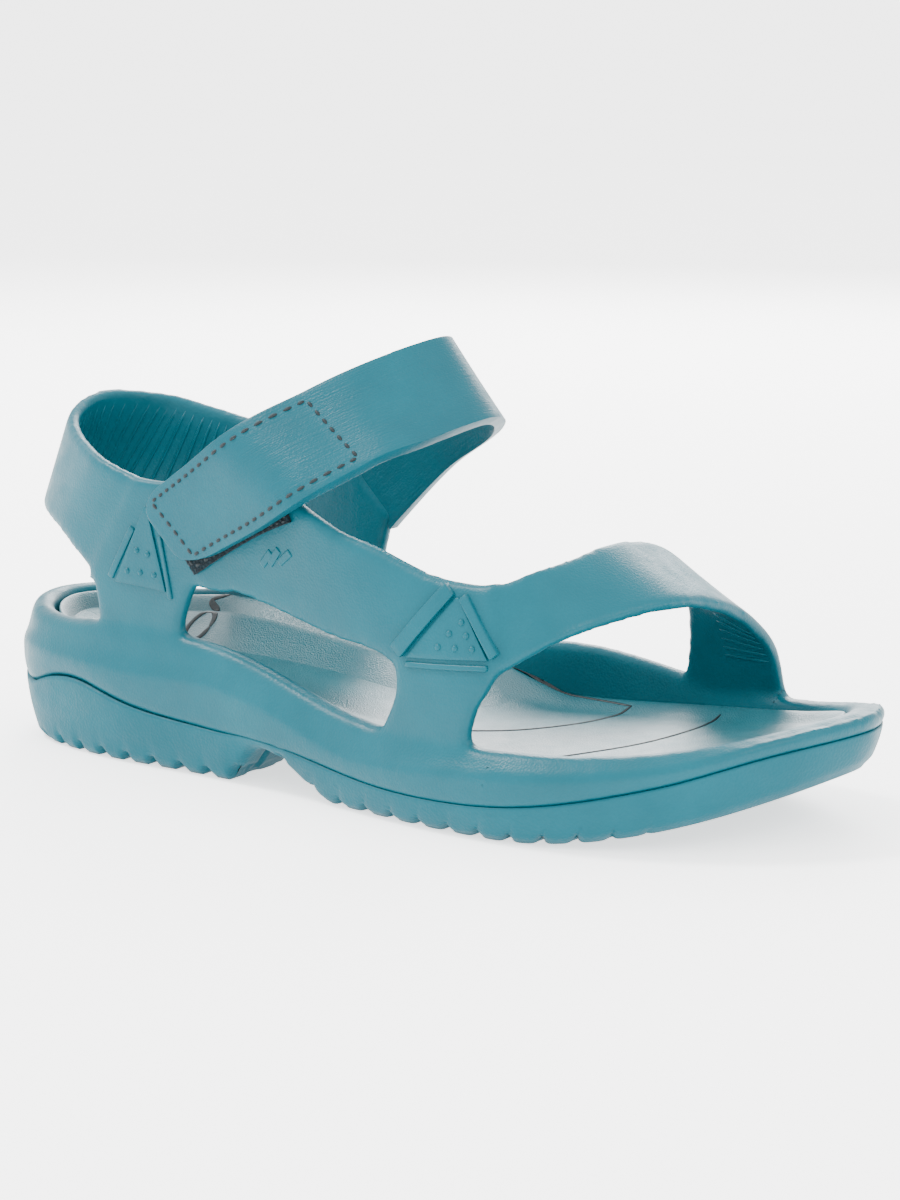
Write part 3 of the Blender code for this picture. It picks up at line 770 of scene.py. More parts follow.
# ---------------------------------------------------------------- the moulded shell
@dataclass(frozen=True)
class Seam:
    """An upright plane in side view that a wall piece is trimmed at, with a mark to keep."""

    start: Spot
    end: Spot
    overlap: float = 0.0016

    def trim(self, shape: bmesh.types.BMesh, last: Last, keep: Spot) -> None:
        """Trim a wall piece a little past the plane, on the side away from the keep mark."""
        def seen(mark: Spot) -> Vector:
            """The place in side view of a mark of station and rise."""
            return Vector((mark[0] * last.length, 0, last.level(Level.RIM, mark[0]) + mark[1]))

        start, end = seen(self.start), seen(self.end)
        along = end - start
        across = Vector((along.z, 0, -along.x)).normalized()
        if across.dot(seen(keep) - start) > 0:
            across = -across
        cut_off(shape, start + across * self.overlap, across)


SIDE_FRONT = Seam((.582, .0192), (.682, .0437))
TOE_OUTER = Seam((.701, .0205), (.682, .0437))
REAR_OUTER = Seam((.165, .0138), (.310, .0165))
REAR_INNER = Seam((.167, .0148), (.386, .0190))
SIDE_REAR = Seam((.345, .0175), (.430, .0580))
HEEL = Seam((.165, .0138), (.235, .0450))
STRAP_ROOT = Seam((.400, .0350), (.320, .0555))


@dataclass(frozen=True)
class BandFaces:
    """The outer faces of the three bands over the foot."""

    last: Last
    crown: float = 0.0842
    toe_crown: float = 0.038
    band: float = 0.004
    stand_off: float = 0.0074

    def toe(self, across: float, along: float) -> Vector:
        """The toe band: along from the outer side to the inner side, across rear to front."""
        crown = self.toe_crown
        front = between(((.668, -.93, .0135), (.701, -.86, .0205), (.747, -.76, .0295),
                         (.785, -.50, crown - .003), (.819, -.22, crown),
                         (.830, .05, crown - .0015), (.836, .32, crown - .006),
                         (.838, .56, crown - .0125), (.838, .78, .0160), (.838, .896, 0)), along)
        rear = between(((.655, -.87, .0390), (.682, -.76, .0437), (.712, -.61, .0483),
                        (.729, -.40, crown + .0127), (.738, -.15, crown + .0150),
                        (.739, .12, crown + .0142), (.743, .41, crown + .0098),
                        (.746, .66, crown - .0015), (.735, .80, .0186), (.724, .862, .0040)), along)
        return self.last.foot_point(*rear.lerp(front, across))

    def heel(self, across: float, along: float) -> Vector:
        """The heel band: along from the inner side round the back, across downwards."""
        low = between(((.215, .78, .0090), (.167, .775, .0148), (.103, .64, .0240),
                       (.0413, .36, .0289), (.0247, .00, .0292), (.0392, -.375, .0292),
                       (.102, -.71, .0265), (.165, -.85, .0148), (.215, -.88, .0080)), along)
        top = between(((.275, .77, .0530), (.208, .77, .0545), (.158, .73, .0585),
                       (.104, .60, .0633), (.0649, .138, .0651), (.0753, -.3366, .0602),
                       (.141, -.70, .0530), (.193, -.84, .0475), (.275, -.89, .0420)), along)
        return self.last.foot_point(*top.lerp(low, across))

    def instep(self, across: float, along: float) -> Vector:
        """The instep band: along from its free end to its root, across rear to front."""
        crown = self.crown
        front = between(((.3175, 0, .0227), (.4185, -.90, .0446), (.518, -.68, .0714),
                         (.563, -.366, crown - .0045), (.588, .028, crown),
                         (.549, .427, crown - .0076), (.472, .640, .0594), (.409, .634, .0354),
                         (.378, .649, .0222)), along)
        rear = between(((.2525, 0, .0391), (.3305, -.89, .0571), (.427, -.649, .0828),
                        (.4875, -.334, crown + .0134), (.526, .041, crown + .0207),
                        (.4854, .405, crown + .0118), (.4043, .630, .0775), (.320, .695, .0559),
                        (.285, .726, .0462)), along)
        spot = rear.lerp(front, across)
        out = self.last.wall / 2 + self.stand_off
        closed = self.last.wall_point(Side.OUTER, spot.x, spot.z, out)
        return closed.lerp(self.last.foot_point(*spot), smooth_step(.14, .26, along))


@dataclass
class MouldedShell:
    """The sole's wall, the posts, the side strap and the fixed bands, which leave one mould."""

    last: Last
    faces: BandFaces
    flex: SoleFlex
    voxel: float = 0.00095
    rounds: int = 14
    wall_rows: Tuple[Tuple[float, Level, float], ...] = (
        (.0150, Level.PARTING, -.0032), (.0060, Level.PARTING, -.0030),
        (.0014, Level.PARTING, -.0016), (.0010, Level.PARTING, -.0006),
        (.0005, Level.PARTING, .0006), (.0001, Level.PARTING, .0022),
        (-.0002, Level.CREST, -.0014), (-.0002, Level.CREST, -.0002),
        (.0008, Level.CREST, .0008), (.0014, Level.CREST, .0022),
        (.0028, Level.RIM, -.0030), (.0034, Level.RIM, -.0012), (.0045, Level.RIM, -.0001),
        (.0060, Level.RIM, .0001), (.0084, Level.RIM, .0), (.0098, Level.RIM, -.0006),
        (.0108, Level.FOOTBED, .0015), (.0114, Level.FOOTBED, -.0040),
        (.0150, Level.FOOTBED, -.0044))

    def sole_wall(self) -> bmesh.types.BMesh:
        """The ring of the midsole's wall, closed along its section and round the sole."""
        rows = self.wall_rows
        count = len(rows)

        def place(section: float, around: float) -> Vector:
            """A corner of the ring."""
            inset, level, extra = rows[round(section * count) % count]
            point = self.last.edge_point(around % 1.0, inset)
            side = 1 if point.y > 0 else -1
            point.z = self.last.level(level, point.x / self.last.length, side) + extra
            return point

        return skin(place, count, 360)

    def patch(self, side: Side, first: Sequence[Spot], second: Sequence[Spot],
              trims: Sequence[Tuple[Seam, Spot]]) -> bmesh.types.BMesh:
        """A piece of upright wall between two edges.

        Args:
            side: the side of the foot.
            first: one edge, as marks of station and rise.
            second: the opposite edge.
            trims: the seams that cut it, each with a mark to keep.

        Returns:
            The closed mesh.
        """
        last = self.last

        def place(across: float, along: float) -> Vector:
            """The patch's outer face."""
            spot = flat_curve(first, along).lerp(flat_curve(second, along), across)
            return last.wall_point(side, spot.x, max(spot.y, -.004), last.wall / 2)

        def outward(across: float, along: float) -> Vector:
            """The patch's direction."""
            return Vector((0, side.value, 0))

        shape = slab(place, outward, last.wall, 12, 20)
        for seam, keep in trims:
            seam.trim(shape, last, keep)
        return shape

    def walls(self) -> List[bmesh.types.BMesh]:
        """The posts, the side strap and the ankle panels of both sides."""
        outer, inner = Side.OUTER, Side.INNER
        return [
            self.patch(outer, ((.560, -.004), (.567, 0), (.585, .0125), (.580, .024), (.600, .045)),
                       ((.684, -.004), (.676, 0), (.683, .010), (.703, .021), (.720, .045)),
                       ((SIDE_FRONT, (.63, .010)), (TOE_OUTER, (.63, .010)))),
            self.patch(outer, ((.31, .0170), (.384, .0189), (.491, .0209), (.562, .0210),
                               (.62, .0130)),
                       ((.39, .0590), (.483, .0530), (.545, .0503), (.625, .0447), (.73, .0440)),
                       ((SIDE_REAR, (.50, .035)), (SIDE_FRONT, (.50, .035)))),
            self.patch(outer, ((.168, -.004), (.174, 0), (.165, .0138), (.163, .024)),
                       ((.292, -.004), (.285, 0), (.294, .0100), (.318, .024)),
                       ((REAR_OUTER, (.25, .005)),)),
            self.patch(outer, ((.12, .0118), (.25, .0145), (.40, .0180)),
                       ((.18, .0470), (.235, .0450), (.27, .0455), (.31, .0495), (.36, .0565),
                        (.46, .0590)),
                       ((REAR_OUTER, (.30, .030)), (HEEL, (.30, .030)),
                        (SIDE_REAR, (.30, .030)))),
            self.patch(inner, ((.170, -.004), (.176, 0), (.167, .0148), (.165, .024)),
                       ((.382, -.004), (.375, 0), (.383, .0120), (.388, .024)),
                       ((REAR_INNER, (.27, .005)),)),
            self.patch(inner, ((.12, .0125), (.26, .0150), (.386, .0180)),
                       ((.15, .0580), (.26, .0540), (.42, .0560)),
                       ((REAR_INNER, (.28, .030)), (HEEL, (.28, .030)),
                        (STRAP_ROOT, (.28, .030)))),
        ]

    def bands(self) -> List[bmesh.types.BMesh]:
        """The toe band and the heel band."""
        faces = self.faces
        made = []
        for place, trims in (
                (faces.toe, ((TOE_OUTER, (.78, .030)),)), (faces.heel, ((HEEL, (.08, .040)),))):
            def outward(across: float, along: float, place: Face = place) -> Vector:
                """The band's direction."""
                return facing(place, across, along)

            shape = slab(place, outward, faces.band, 14, 80)
            for seam, keep in trims:
                seam.trim(shape, self.last, keep)
            made.append(shape)
        return made

    def build(self) -> List[bpy.types.Object]:
        """The shell, and the part of it round the toes, ahead of the flex line.

        Returns:
            The two objects.
        """
        whole = stand("shell", merged([self.sole_wall()] + self.walls() + self.bands()), self.last)
        fuse(whole, self.voxel, self.rounds)
        toe = self.split(whole)
        foam = UPPER_FOAM.make()
        dress(whole, foam)
        dress(toe, foam)
        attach(whole, "shoe")
        self.flex.bend(toe)
        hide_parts("midsole", "lateral_front_post", "lateral_side_strap",
                    "lateral_rear_post", "lateral_ankle_panel", "medial_front_post",
                    "medial_rear_post", "medial_ankle_panel", "toe_strap", "heel_strap")
        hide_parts("midsole_toe")
        return [whole, toe]

    def split(self, whole: bpy.types.Object) -> bpy.types.Object:
        """Take the sole wall ahead of the flex line off the shell.

        Args:
            whole: the shell, which keeps the rest.

        Returns:
            The part round the toes.
        """
        toe_mesh = whole.data.copy()
        toe_mesh.name = "shell_toe"
        toe = bpy.data.objects.new("shell_toe", toe_mesh)
        bpy.context.scene.collection.objects.link(toe)
        for piece, wanted in ((whole, False), (toe, True)):
            shape = bmesh.new()
            shape.from_mesh(piece.data)
            shape.normal_update()
            lean = shape.verts.layers.float_vector.new("lean")
            for corner in shape.verts:
                corner[lean] = corner.normal
            drop = [face for face in shape.faces if self.at_toe(face) is not wanted]
            bmesh.ops.delete(shape, geom=drop, context="FACES")
            close_holes(shape)
            shape.to_mesh(piece.data)
            shape.free()
            normals = [item.vector[:] for item in piece.data.attributes["lean"].data]
            piece.data.normals_split_custom_set_from_vertices(normals)
            piece.data.attributes.remove(piece.data.attributes["lean"])
        return toe

    def at_toe(self, face: bmesh.types.BMFace) -> bool:
        """Whether a face belongs to the wall round the toes."""
        point = face.calc_center_median() + Vector(self.last.middle)
        station = point.x / self.last.length
        low = point.z < self.last.level(Level.RIM, station) + 0.0035
        return low and self.flex.distance(point) > 0


# ---------------------------------------------------------------- raised marks
def moulded_mark(name: str, parts: Iterable[bmesh.types.BMesh], last: Last) -> bpy.types.Object:
    """Small raised shapes as one object of the upper's foam."""
    piece = stand(name, merged(parts), last)
    dress(piece, UPPER_FOAM.make())
    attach(piece, "shoe")
    return piece


@dataclass
class Emblem:
    """A raised triangle with bars along its sides and rows of small domes."""

    last: Last
    name: str
    corners: Tuple[Spot, ...]
    domes: Tuple[Spot, ...]
    bars: Tuple[Tuple[Spot, Spot, float, float], ...]
    plate: float = 0.0007
    dome: float = 0.0010
    sunk: float = 0.0010

    def on_wall(self, spot: Vector, out: float) -> Vector:
        """A place on the outer wall, some way outside its face."""
        return self.last.wall_point(Side.OUTER, spot.x, spot.y, self.last.wall / 2 + out)

    def patch(self, low: Face, out: float, columns: int, rows: int) -> bmesh.types.BMesh:
        """A raised patch whose flat shape is given in station and rise."""
        def place(across: float, along: float) -> Vector:
            """The patch's face."""
            return self.on_wall(low(across, along), out)

        def outward(across: float, along: float) -> Vector:
            """The patch's direction."""
            return Vector((0, -1, 0))

        shape = slab(place, outward, out + self.sunk, columns, rows)
        round_edges(shape, min(0.0004, out * 0.9), 2)
        return shape

    def triangle(self) -> bmesh.types.BMesh:
        """The plate."""
        top, left, right = (Vector((*corner, 0)) for corner in self.corners)

        def flat(across: float, along: float) -> Vector:
            """A place in the triangle, a little blunt at its top."""
            along = 0.04 + 0.96 * along
            return top.lerp(left, along).lerp(top.lerp(right, along), across)

        return self.patch(flat, self.plate, 8, 10)

    def bar(self, start: Spot, end: Spot, width: float, out: float) -> bmesh.types.BMesh:
        """A bar between two marks of station and rise."""
        length = self.last.length
        first = Vector((start[0] * length, start[1], 0))
        second = Vector((end[0] * length, end[1], 0))
        side = (second - first).normalized().cross(Vector((0, 0, 1))) * width / 2

        def flat(across: float, along: float) -> Vector:
            """A place in the bar."""
            spot = first.lerp(second, along) + side * (across * 2 - 1)
            return Vector((spot.x / length, spot.y, 0))

        return self.patch(flat, out, 3, 12)

    def build(self) -> bpy.types.Object:
        """The emblem as one object."""
        parts = [self.triangle()] if self.corners else []
        parts += [self.bar(*bar) for bar in self.bars]
        for spot in self.domes:
            shape = bmesh.new()
            bmesh.ops.create_uvsphere(shape, u_segments=14, v_segments=8, radius=self.dome)
            bmesh.ops.scale(shape, verts=shape.verts, vec=(1, 0.75, 1))
            middle = self.on_wall(Vector((*spot, 0)), self.plate - 0.0001)
            bmesh.ops.translate(shape, verts=shape.verts, vec=middle)
            parts.append(shape)
        return moulded_mark(self.name, parts, self.last)


@dataclass
class Ribs:
    """Low ribs on the inner face of a band, which keep it from slipping."""

    last: Last
    name: str
    place: Face
    marks: Tuple[float, ...]
    span: Tuple[float, float]
    band: float = 0.004
    width: float = 0.0011
    height: float = 0.00045

    def build(self) -> bpy.types.Object:
        """The ribs as one object."""
        return moulded_mark(self.name, [self.one(mark) for mark in self.marks], self.last)

    def one(self, mark: float) -> bmesh.types.BMesh:
        """One rib, half sunk in the band."""
        low, high = self.span

        def corner(section: float, across: float) -> Vector:
            """A corner of the rib, round its section and across the band."""
            spread = low + (high - low) * across
            point, out = self.place(spread, mark), facing(self.place, spread, mark)
            along = (self.place(spread, min(mark + .004, 1)) - self.place(spread, mark - .004))
            turn = section * math.tau
            ends = math.sqrt(max(1 - abs(across * 2 - 1) ** 6, 0.02))
            return (point - out * (self.band + self.height * math.sin(turn) * ends)
                    + along.normalized() * self.width / 2 * math.cos(turn) * ends)

        shape = skin(corner, 8, 10)
        close_holes(shape)
        return shape


def marks_on_upper(last: Last, faces: BandFaces) -> List[bpy.types.Object]:
    """The emblems on the outer side and the ribs inside the bands."""
    front = Emblem(last, "front_emblem", ((.6500, .0412), (.6000, .0226), (.6960, .0250)),
                   ((.6600, .0342), (.6480, .0308), (.6680, .0308), (.6370, .0268), (.6570, .0271),
                    (.6770, .0275)),
                   (((.6400, .0428), (.5870, .0236), .0046, .0016),
                    ((.6560, .0412), (.7030, .0262), .0026, .0014),
                    ((.5990, .0206), (.6960, .0228), .0016, .0008)))
    side = Emblem(last, "side_mark", (), (),
                  (((.4020, .0310), (.4150, .0365), .0022, .0004),
                   ((.4130, .0325), (.4260, .0385), .0022, .0004),
                   ((.4260, .0345), (.4420, .0395), .0022, .0004)))
    rear = Emblem(last, "rear_emblem", ((.2450, .0380), (.2020, .0128), (.2700, .0125)),
                  ((.2325, .0234), (.2472, .0228), (.2190, .0167), (.2370, .0169), (.2555, .0169)),
                  (((.2260, .0300), (.1940, .0140), .0022, .0007),
                   ((.2620, .0290), (.2760, .0105), .0016, .0007)))
    heel = Ribs(last, "heel_ribs", faces.heel, tuple(.14 + .024 * step for step in range(31)),
                (.10, .88))
    toe = Ribs(last, "toe_ribs", faces.toe, tuple(.80 + .022 * step for step in range(6)),
               (.42, .92))
    return [front.build(), side.build(), rear.build(), heel.build(), toe.build()]


# ---------------------------------------------------------------- the outsole
@dataclass
class Outsole:
    """The tread: a fluted side wall with lugs along its lower edge, and a grooved underside."""

    last: Last
    flex: SoleFlex
    around: int = 840
    pitch: float = 0.0107
    notch: float = 0.0023
    notch_depth: float = 0.0022
    notch_rise: float = 0.0026
    flute_rise: float = 0.0105
    groove: float = 0.0016
    groove_pitch: float = 0.0115
    lobes_from: Spot = (.42, .48)
    lugs_from: Spot = (.03, .11)
    lugs_to: Spot = (.78, .90)
    waist: Spot = (.385, .022)
    wall_rows: int = 16
    top_rows: Tuple[float, ...] = (0.0, 0.4, 0.8, 1.0)
    shares: Tuple[float, ...] = (.985, .955, .92, .885, .86, .84, .82, .80, .78, .76, .74, .71,
                                 .67, .63, .59, .55, .51, .47, .43, .39, .35, .31, .27, .23, .19,
                                 .15, .11, .07, .03, 0)

    def arc(self) -> List[float]:
        """The length of the way round, at each place on the outline."""
        total, way = 0.0, [0.0]
        for index in range(self.around):
            here = self.last.edge((index % self.around) / self.around)[0]
            after = self.last.edge(((index + 1) % self.around) / self.around)[0]
            total += (after - here).length
            way.append(total)
        lugs = round(total / self.pitch)
        return [length / total * lugs for length in way]

    def hollow(self, phase: float, front: float) -> float:
        """How deep the gap between two lugs is: a slim notch, or wide round lobes in front."""
        away = abs(phase - math.floor(phase) - 0.5)
        slim = max(0.0, 1 - (away * self.pitch / self.notch) ** 2) ** 1.5
        lobe = 1 - math.sqrt(max(1 - (1 - 2 * away) ** 4, 0.0))
        return slim + (lobe - slim) * front

    def strength(self, station: float) -> float:
        """How strong the lugs are at a station: plain at the heel's back and at the toe."""
        middle, width = self.waist
        waist = math.exp(-((station - middle) / width) ** 2)
        ends = smooth_step(*self.lugs_from, station) * (1 - smooth_step(*self.lugs_to, station))
        return ends * (1 - waist)

    def cross(self, point: Vector) -> float:
        """The grooves across the underside's middle."""
        bent = point.x + 0.004 * math.sin(point.y * 90)
        phase = bent / self.groove_pitch
        away = abs(phase - math.floor(phase) - 0.5) * self.groove_pitch
        return 1 - smooth_step(0.0012, 0.0022, away)

    def build(self) -> bpy.types.Object:
        """The outsole as one object."""
        last, way = self.last, self.arc()
        rows, top = self.wall_rows, len(self.top_rows)
        count = rows + 2 + len(self.shares) + top

        def place(section: float, around: float) -> Vector:
            """A corner: down the wall, then in under the sole, and the hidden top closed."""
            row = round(section * count)
            index = round(around * self.around)
            around = (index % self.around) / self.around
            turn = way[index % self.around]
            if row < top:
                return self.hidden(around, self.top_rows[row])
            if row < rows + top:
                return self.on_wall(around, (row - top + 1) / rows, turn)
            if row == rows + top:
                return self.under(around, 1.0, turn)
            inner = min(row - rows - top - 1, len(self.shares) - 1)
            return self.under(around, self.shares[inner], turn)

        piece = stand("outsole", skin(place, count, self.around), last)
        dress(piece, TREAD_FOAM.make())
        self.flex.bend(piece)
        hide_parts("outsole_heel", "outsole_forefoot", "outsole_toe")
        return piece

    def hidden(self, around: float, share: float) -> Vector:
        """A corner of the top, under the footbed."""
        point = self.last.edge_point(around, 0.012)
        spine = self.last.spine(self.last.edge(around)[0].x / self.last.length)
        point = spine.lerp(point, share)
        station = point.x / self.last.length
        low = self.last.level(Level.CORE, station)
        edge = self.last.level(Level.PARTING, station) - 0.0035
        point.z = low + (max(edge, low) - low) * share ** 4
        return point

    def on_wall(self, around: float, down: float, turn: float) -> Vector:
        """A corner of the side wall, down from the parting groove."""
        last = self.last
        lip = 0.0007 * max(0.0, 1 - down * 14)
        point = last.edge_point(around, 0)
        station = point.x / last.length
        top = last.level(Level.PARTING, station)
        bottom = last.level(Level.BOTTOM, station)
        rise = (top - bottom) * (1 - down)
        rounding = 0.0018 * fall(rise, 0.0030) ** 2
        front = smooth_step(*self.lobes_from, station)
        lean = rise / self.pitch * (0.12 + 0.40 * front) * (-1 if point.y < 0 else 1)
        depth = self.hollow(turn + lean, front) * self.strength(station)
        tall = depth * fall(rise, self.flute_rise) * (0.22 + 0.38 * front)
        low = depth * fall(rise, 0.0038)
        inset = 0.0006 + 0.0040 * down ** 1.7 + lip + rounding
        inset += (tall + low) * self.notch_depth
        point = last.edge_point(around, inset)
        station = point.x / last.length
        top = last.level(Level.PARTING, station)
        bottom = last.level(Level.BOTTOM, station)
        point.z = bottom + (top - bottom) * (1 - down)
        point.z += depth * self.notch_rise * fall(rise, 0.0045)
        return point

    def under(self, around: float, share: float, turn: float) -> Vector:
        """A corner of the underside."""
        last = self.last
        station = last.edge(around)[0].x / last.length
        depth = self.hollow(turn, smooth_step(*self.lobes_from, station)) * self.strength(station)
        point = last.spine(station).lerp(last.edge_point(around, 0.0078), share)
        point.z = last.level(Level.BOTTOM, point.x / last.length)
        rim = smooth_step(0.80, 0.86, share)
        channel = smooth_step(0.74, 0.77, share) * (1 - smooth_step(0.81, 0.84, share))
        inside = 1 - smooth_step(0.72, 0.76, share)
        point.z += max(depth * self.notch_rise * rim, self.groove * channel,
                       self.groove * self.cross(point) * inside)
        return point


# ---------------------------------------------------------------- the footbed
@dataclass
class Footbed:
    """The cupped footbed, painted shade along its grooves, and a plain printed mark at the heel."""

    last: Last
    flex: SoleFlex
    inset: float = 0.0112
    cup: float = 0.0022
    below_rim: float = 0.0012
    heel_end: Spot = (.05, .16)
    arch_end: Spot = (.48, .62)
    line_half: float = 0.0005
    mark_half: float = 0.0009
    around: int = 600
    # The footbed's grooves, drawn as dark raised lines of painted shade.
    grooves: Tuple[Tuple[Spot, ...], ...] = (
        ((.1733, -.0169), (.1836, -.0063), (.1926, .0099), (.1960, .0230), (.1968, .0340)),
        ((.2115, -.0286), (.2232, -.0048), (.2272, .0180), (.2260, .0360)),
        ((.1250, .0245), (.1550, .0290), (.1830, .0330), (.1968, .0340)),
    )

    def height(self, x: float, share: float, y: float) -> float:
        """The footbed's top at a place: share is 1 at its edge and 0 on its middle line."""
        station = x / self.last.length
        floor = self.last.level(Level.FOOTBED, station)
        rise = self.cup * smooth_step(0.66, 1.0, share)
        side = 1 if y > 0 else -1
        rim = self.last.level(Level.RIM, station, side)
        climb = max(rim - floor - self.below_rim - self.cup, 0)
        past_heel = smooth_step(*self.heel_end, station)
        arch = past_heel * (1 - smooth_step(*self.arch_end, station)) * (side > 0)
        return floor + rise + climb * (arch + 1 - past_heel) * smooth_step(0.30, 1.0, share)

    def build(self) -> List[bpy.types.Object]:
        """The footbed, the painted shade of its grooves, and the mark printed on it."""
        shares = [1.0, .992, .975, .95, .92, .88, .84, .80, .76, .72, .68]
        shares += [.68 - .04 * step for step in range(1, 18)]
        rows = [(0.0, -.0045), (.6, -.0045), (1.0, -.0042), (1.0, -.0010)]
        rows += [(share, 0.0) for share in shares]
        count = len(rows) - 1
        last = self.last

        def place(section: float, around: float) -> Vector:
            """A corner of the footbed."""
            share, extra = rows[round(section * count)]
            around = around % 1.0
            spine = last.spine(last.edge(around)[0].x / last.length)
            share = max(share, 0.0)
            point = spine.lerp(last.edge_point(around, self.inset), share)
            point.z = self.height(point.x, share if extra == 0 else 1.0, point.y) + extra
            if extra == 0:
                point.z -= 0.0007 * smooth_step(0.985, 1.0, share)
            return point

        shape = skin(place, count, self.around)
        top = BVHTree.FromBMesh(shape)
        bed = stand("footbed_pad", shape, last)
        dress(bed, BED_FOAM.make())
        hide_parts("footbed", "footbed_toe")
        self.flex.bend(bed)
        # One dark material for the printed mark and for the painted shade of the grooves.
        ink_and_shade = INK_AND_GROOVE_SHADE.make()
        groove_shade_lines = [self.ribbon(line, self.line_half, top) for line in self.grooves]
        lines = stand("footbed_groove_shade", merged(groove_shade_lines), last)
        dress(lines, ink_and_shade)
        self.flex.bend(lines)
        printed = [self.ribbon(line, self.mark_half, top) for line in self.mark()]
        mark = stand("footbed_mark", merged(printed), last)
        dress(mark, ink_and_shade)
        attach(mark, "shoe")
        return [bed, lines, mark]

    def mark(self) -> List[Tuple[Spot, ...]]:
        """A ring and a plain wave, as lines seen from above."""
        ring = tuple((.0530 + .0040 * math.cos(turn / 12 * math.tau),
                      .0100 + .0060 * math.sin(turn / 12 * math.tau)) for turn in range(13))
        wave = ((.0540, .0185), (.0490, .0215), (.0540, .0245), (.0490, .0275), (.0530, .0300))
        return [ring, wave]

    def ribbon(self, line: Sequence[Spot], half: float, top: BVHTree) -> bmesh.types.BMesh:
        """A thin raised line along a curve on the footbed: painted groove shade, or print.

        Args:
            line: points of x and y.
            half: half its width.
            top: the footbed, for the line to lie on.

        Returns:
            The closed mesh.
        """
        def place(section: float, along: float) -> Vector:
            """A corner of the ribbon, round its section and along its curve."""
            step = 0.01
            spot = flat_curve(line, along)
            ahead = flat_curve(line, min(along + step, 1))
            behind = flat_curve(line, max(along - step, 0))
            across = (ahead - behind).normalized().cross(Vector((0, 0, 1)))
            turn = section * math.tau
            spot += across * math.cos(turn) * half * (0.4 + 0.6 * math.sin(math.pi * min(
                max(along * 8, 0), 0.5, (1 - along) * 8)))
            high, spot.z = Vector((spot.x, spot.y, 0.2)), 0.03
            found = top.ray_cast(high, Vector((0, 0, -1)))[0] or top.find_nearest(spot)[0]
            spot.z = found.z + 0.00005 + 0.00022 * math.sin(turn)
            return spot

        shape = skin(place, 8, max(24, 6 * len(line)))
        close_holes(shape)
        return shape


# ---------------------------------------------------------------- the instep strap
@dataclass
class InstepStrap:
    """The strap over the instep, which opens at its crest and at its free end."""

    last: Last
    faces: BandFaces
    root: float = 1.0
    bend: float = 0.53
    fold: float = 0.275
    part: float = 0.40
    corner: float = 0.0075
    end_width: float = 0.030
    end_length: float = 0.150

    def face(self, across: float, along: float) -> Vector:
        """The strap's outer face, its free end rounded at the corners."""
        reach = along * self.end_length
        if reach < self.corner:
            cut = self.corner - math.sqrt(max(self.corner ** 2 - (self.corner - reach) ** 2, 0))
            share = cut / self.end_width
            across = share + across * (1 - 2 * share)
        return self.faces.instep(across, along)

    def stretch(self, name: str, start: float, end: float, rows: int) -> bpy.types.Object:
        """One stretch of the strap.

        Args:
            name: the piece's name.
            start: where it starts, as a share from the free end.
            end: where it ends.
            rows: faces along it.

        Returns:
            The object.
        """
        def place(across: float, along: float) -> Vector:
            """The stretch's face, with its rows close together at its start."""
            return self.face(across, start + (end - start) * along)

        def outward(across: float, along: float) -> Vector:
            """The stretch's direction."""
            return facing(self.faces.instep, across, start + (end - start) * along)

        shape = slab(place, outward, self.faces.band, 18, rows)
        joint = self.faces.instep(0.5, self.part)
        along = (self.faces.instep(0.5, self.part + .01) - joint).normalized()
        flat = [face for face in shape.faces
                if (face.calc_center_median() - joint).length < 0.030
                and abs(face.normal.dot(along)) > 0.8]
        if end == self.root:
            STRAP_ROOT.trim(shape, self.last, (.50, .090))
            flat = [face for face in flat if face.is_valid]
        for face in flat:
            for edge in face.edges:
                edge.smooth = edge.calc_face_angle(0) < SHARP
        round_edges(shape, 0.0012, skip=flat)
        piece = stand(name, shape, self.last)
        lay_lines(piece, self.faces.instep, start, end, self.last)
        return piece

    def line(self, along: float, reach: float) -> Tuple[Vector, Vector]:
        """Two points on either side of a bending line."""
        middle = self.faces.instep(0.5, along)
        ahead = (self.faces.instep(0.5, along - 0.02) - self.faces.instep(0.5, along + 0.02))
        ahead = ahead.normalized() * reach
        return self.last.in_frame(middle - ahead), self.last.in_frame(middle + ahead)

    def build(self) -> List[bpy.types.Object]:
        """The crest stretch and the free end."""
        crest = self.stretch("strap_crest", self.part, self.root, 100)
        end = self.stretch("strap_end", 0.0, self.part, 90)
        foam = STRAP_FOAM.make()
        dress(crest, foam)
        dress(end, foam)
        start, stop = self.line(self.bend, 0.008)
        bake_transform(crest)
        start, stop = self.line(self.fold, 0.008)
        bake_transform(end)
        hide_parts("instep_strap_inner", "instep_strap_outer")
        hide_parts("instep_flap")
        return [crest, end]


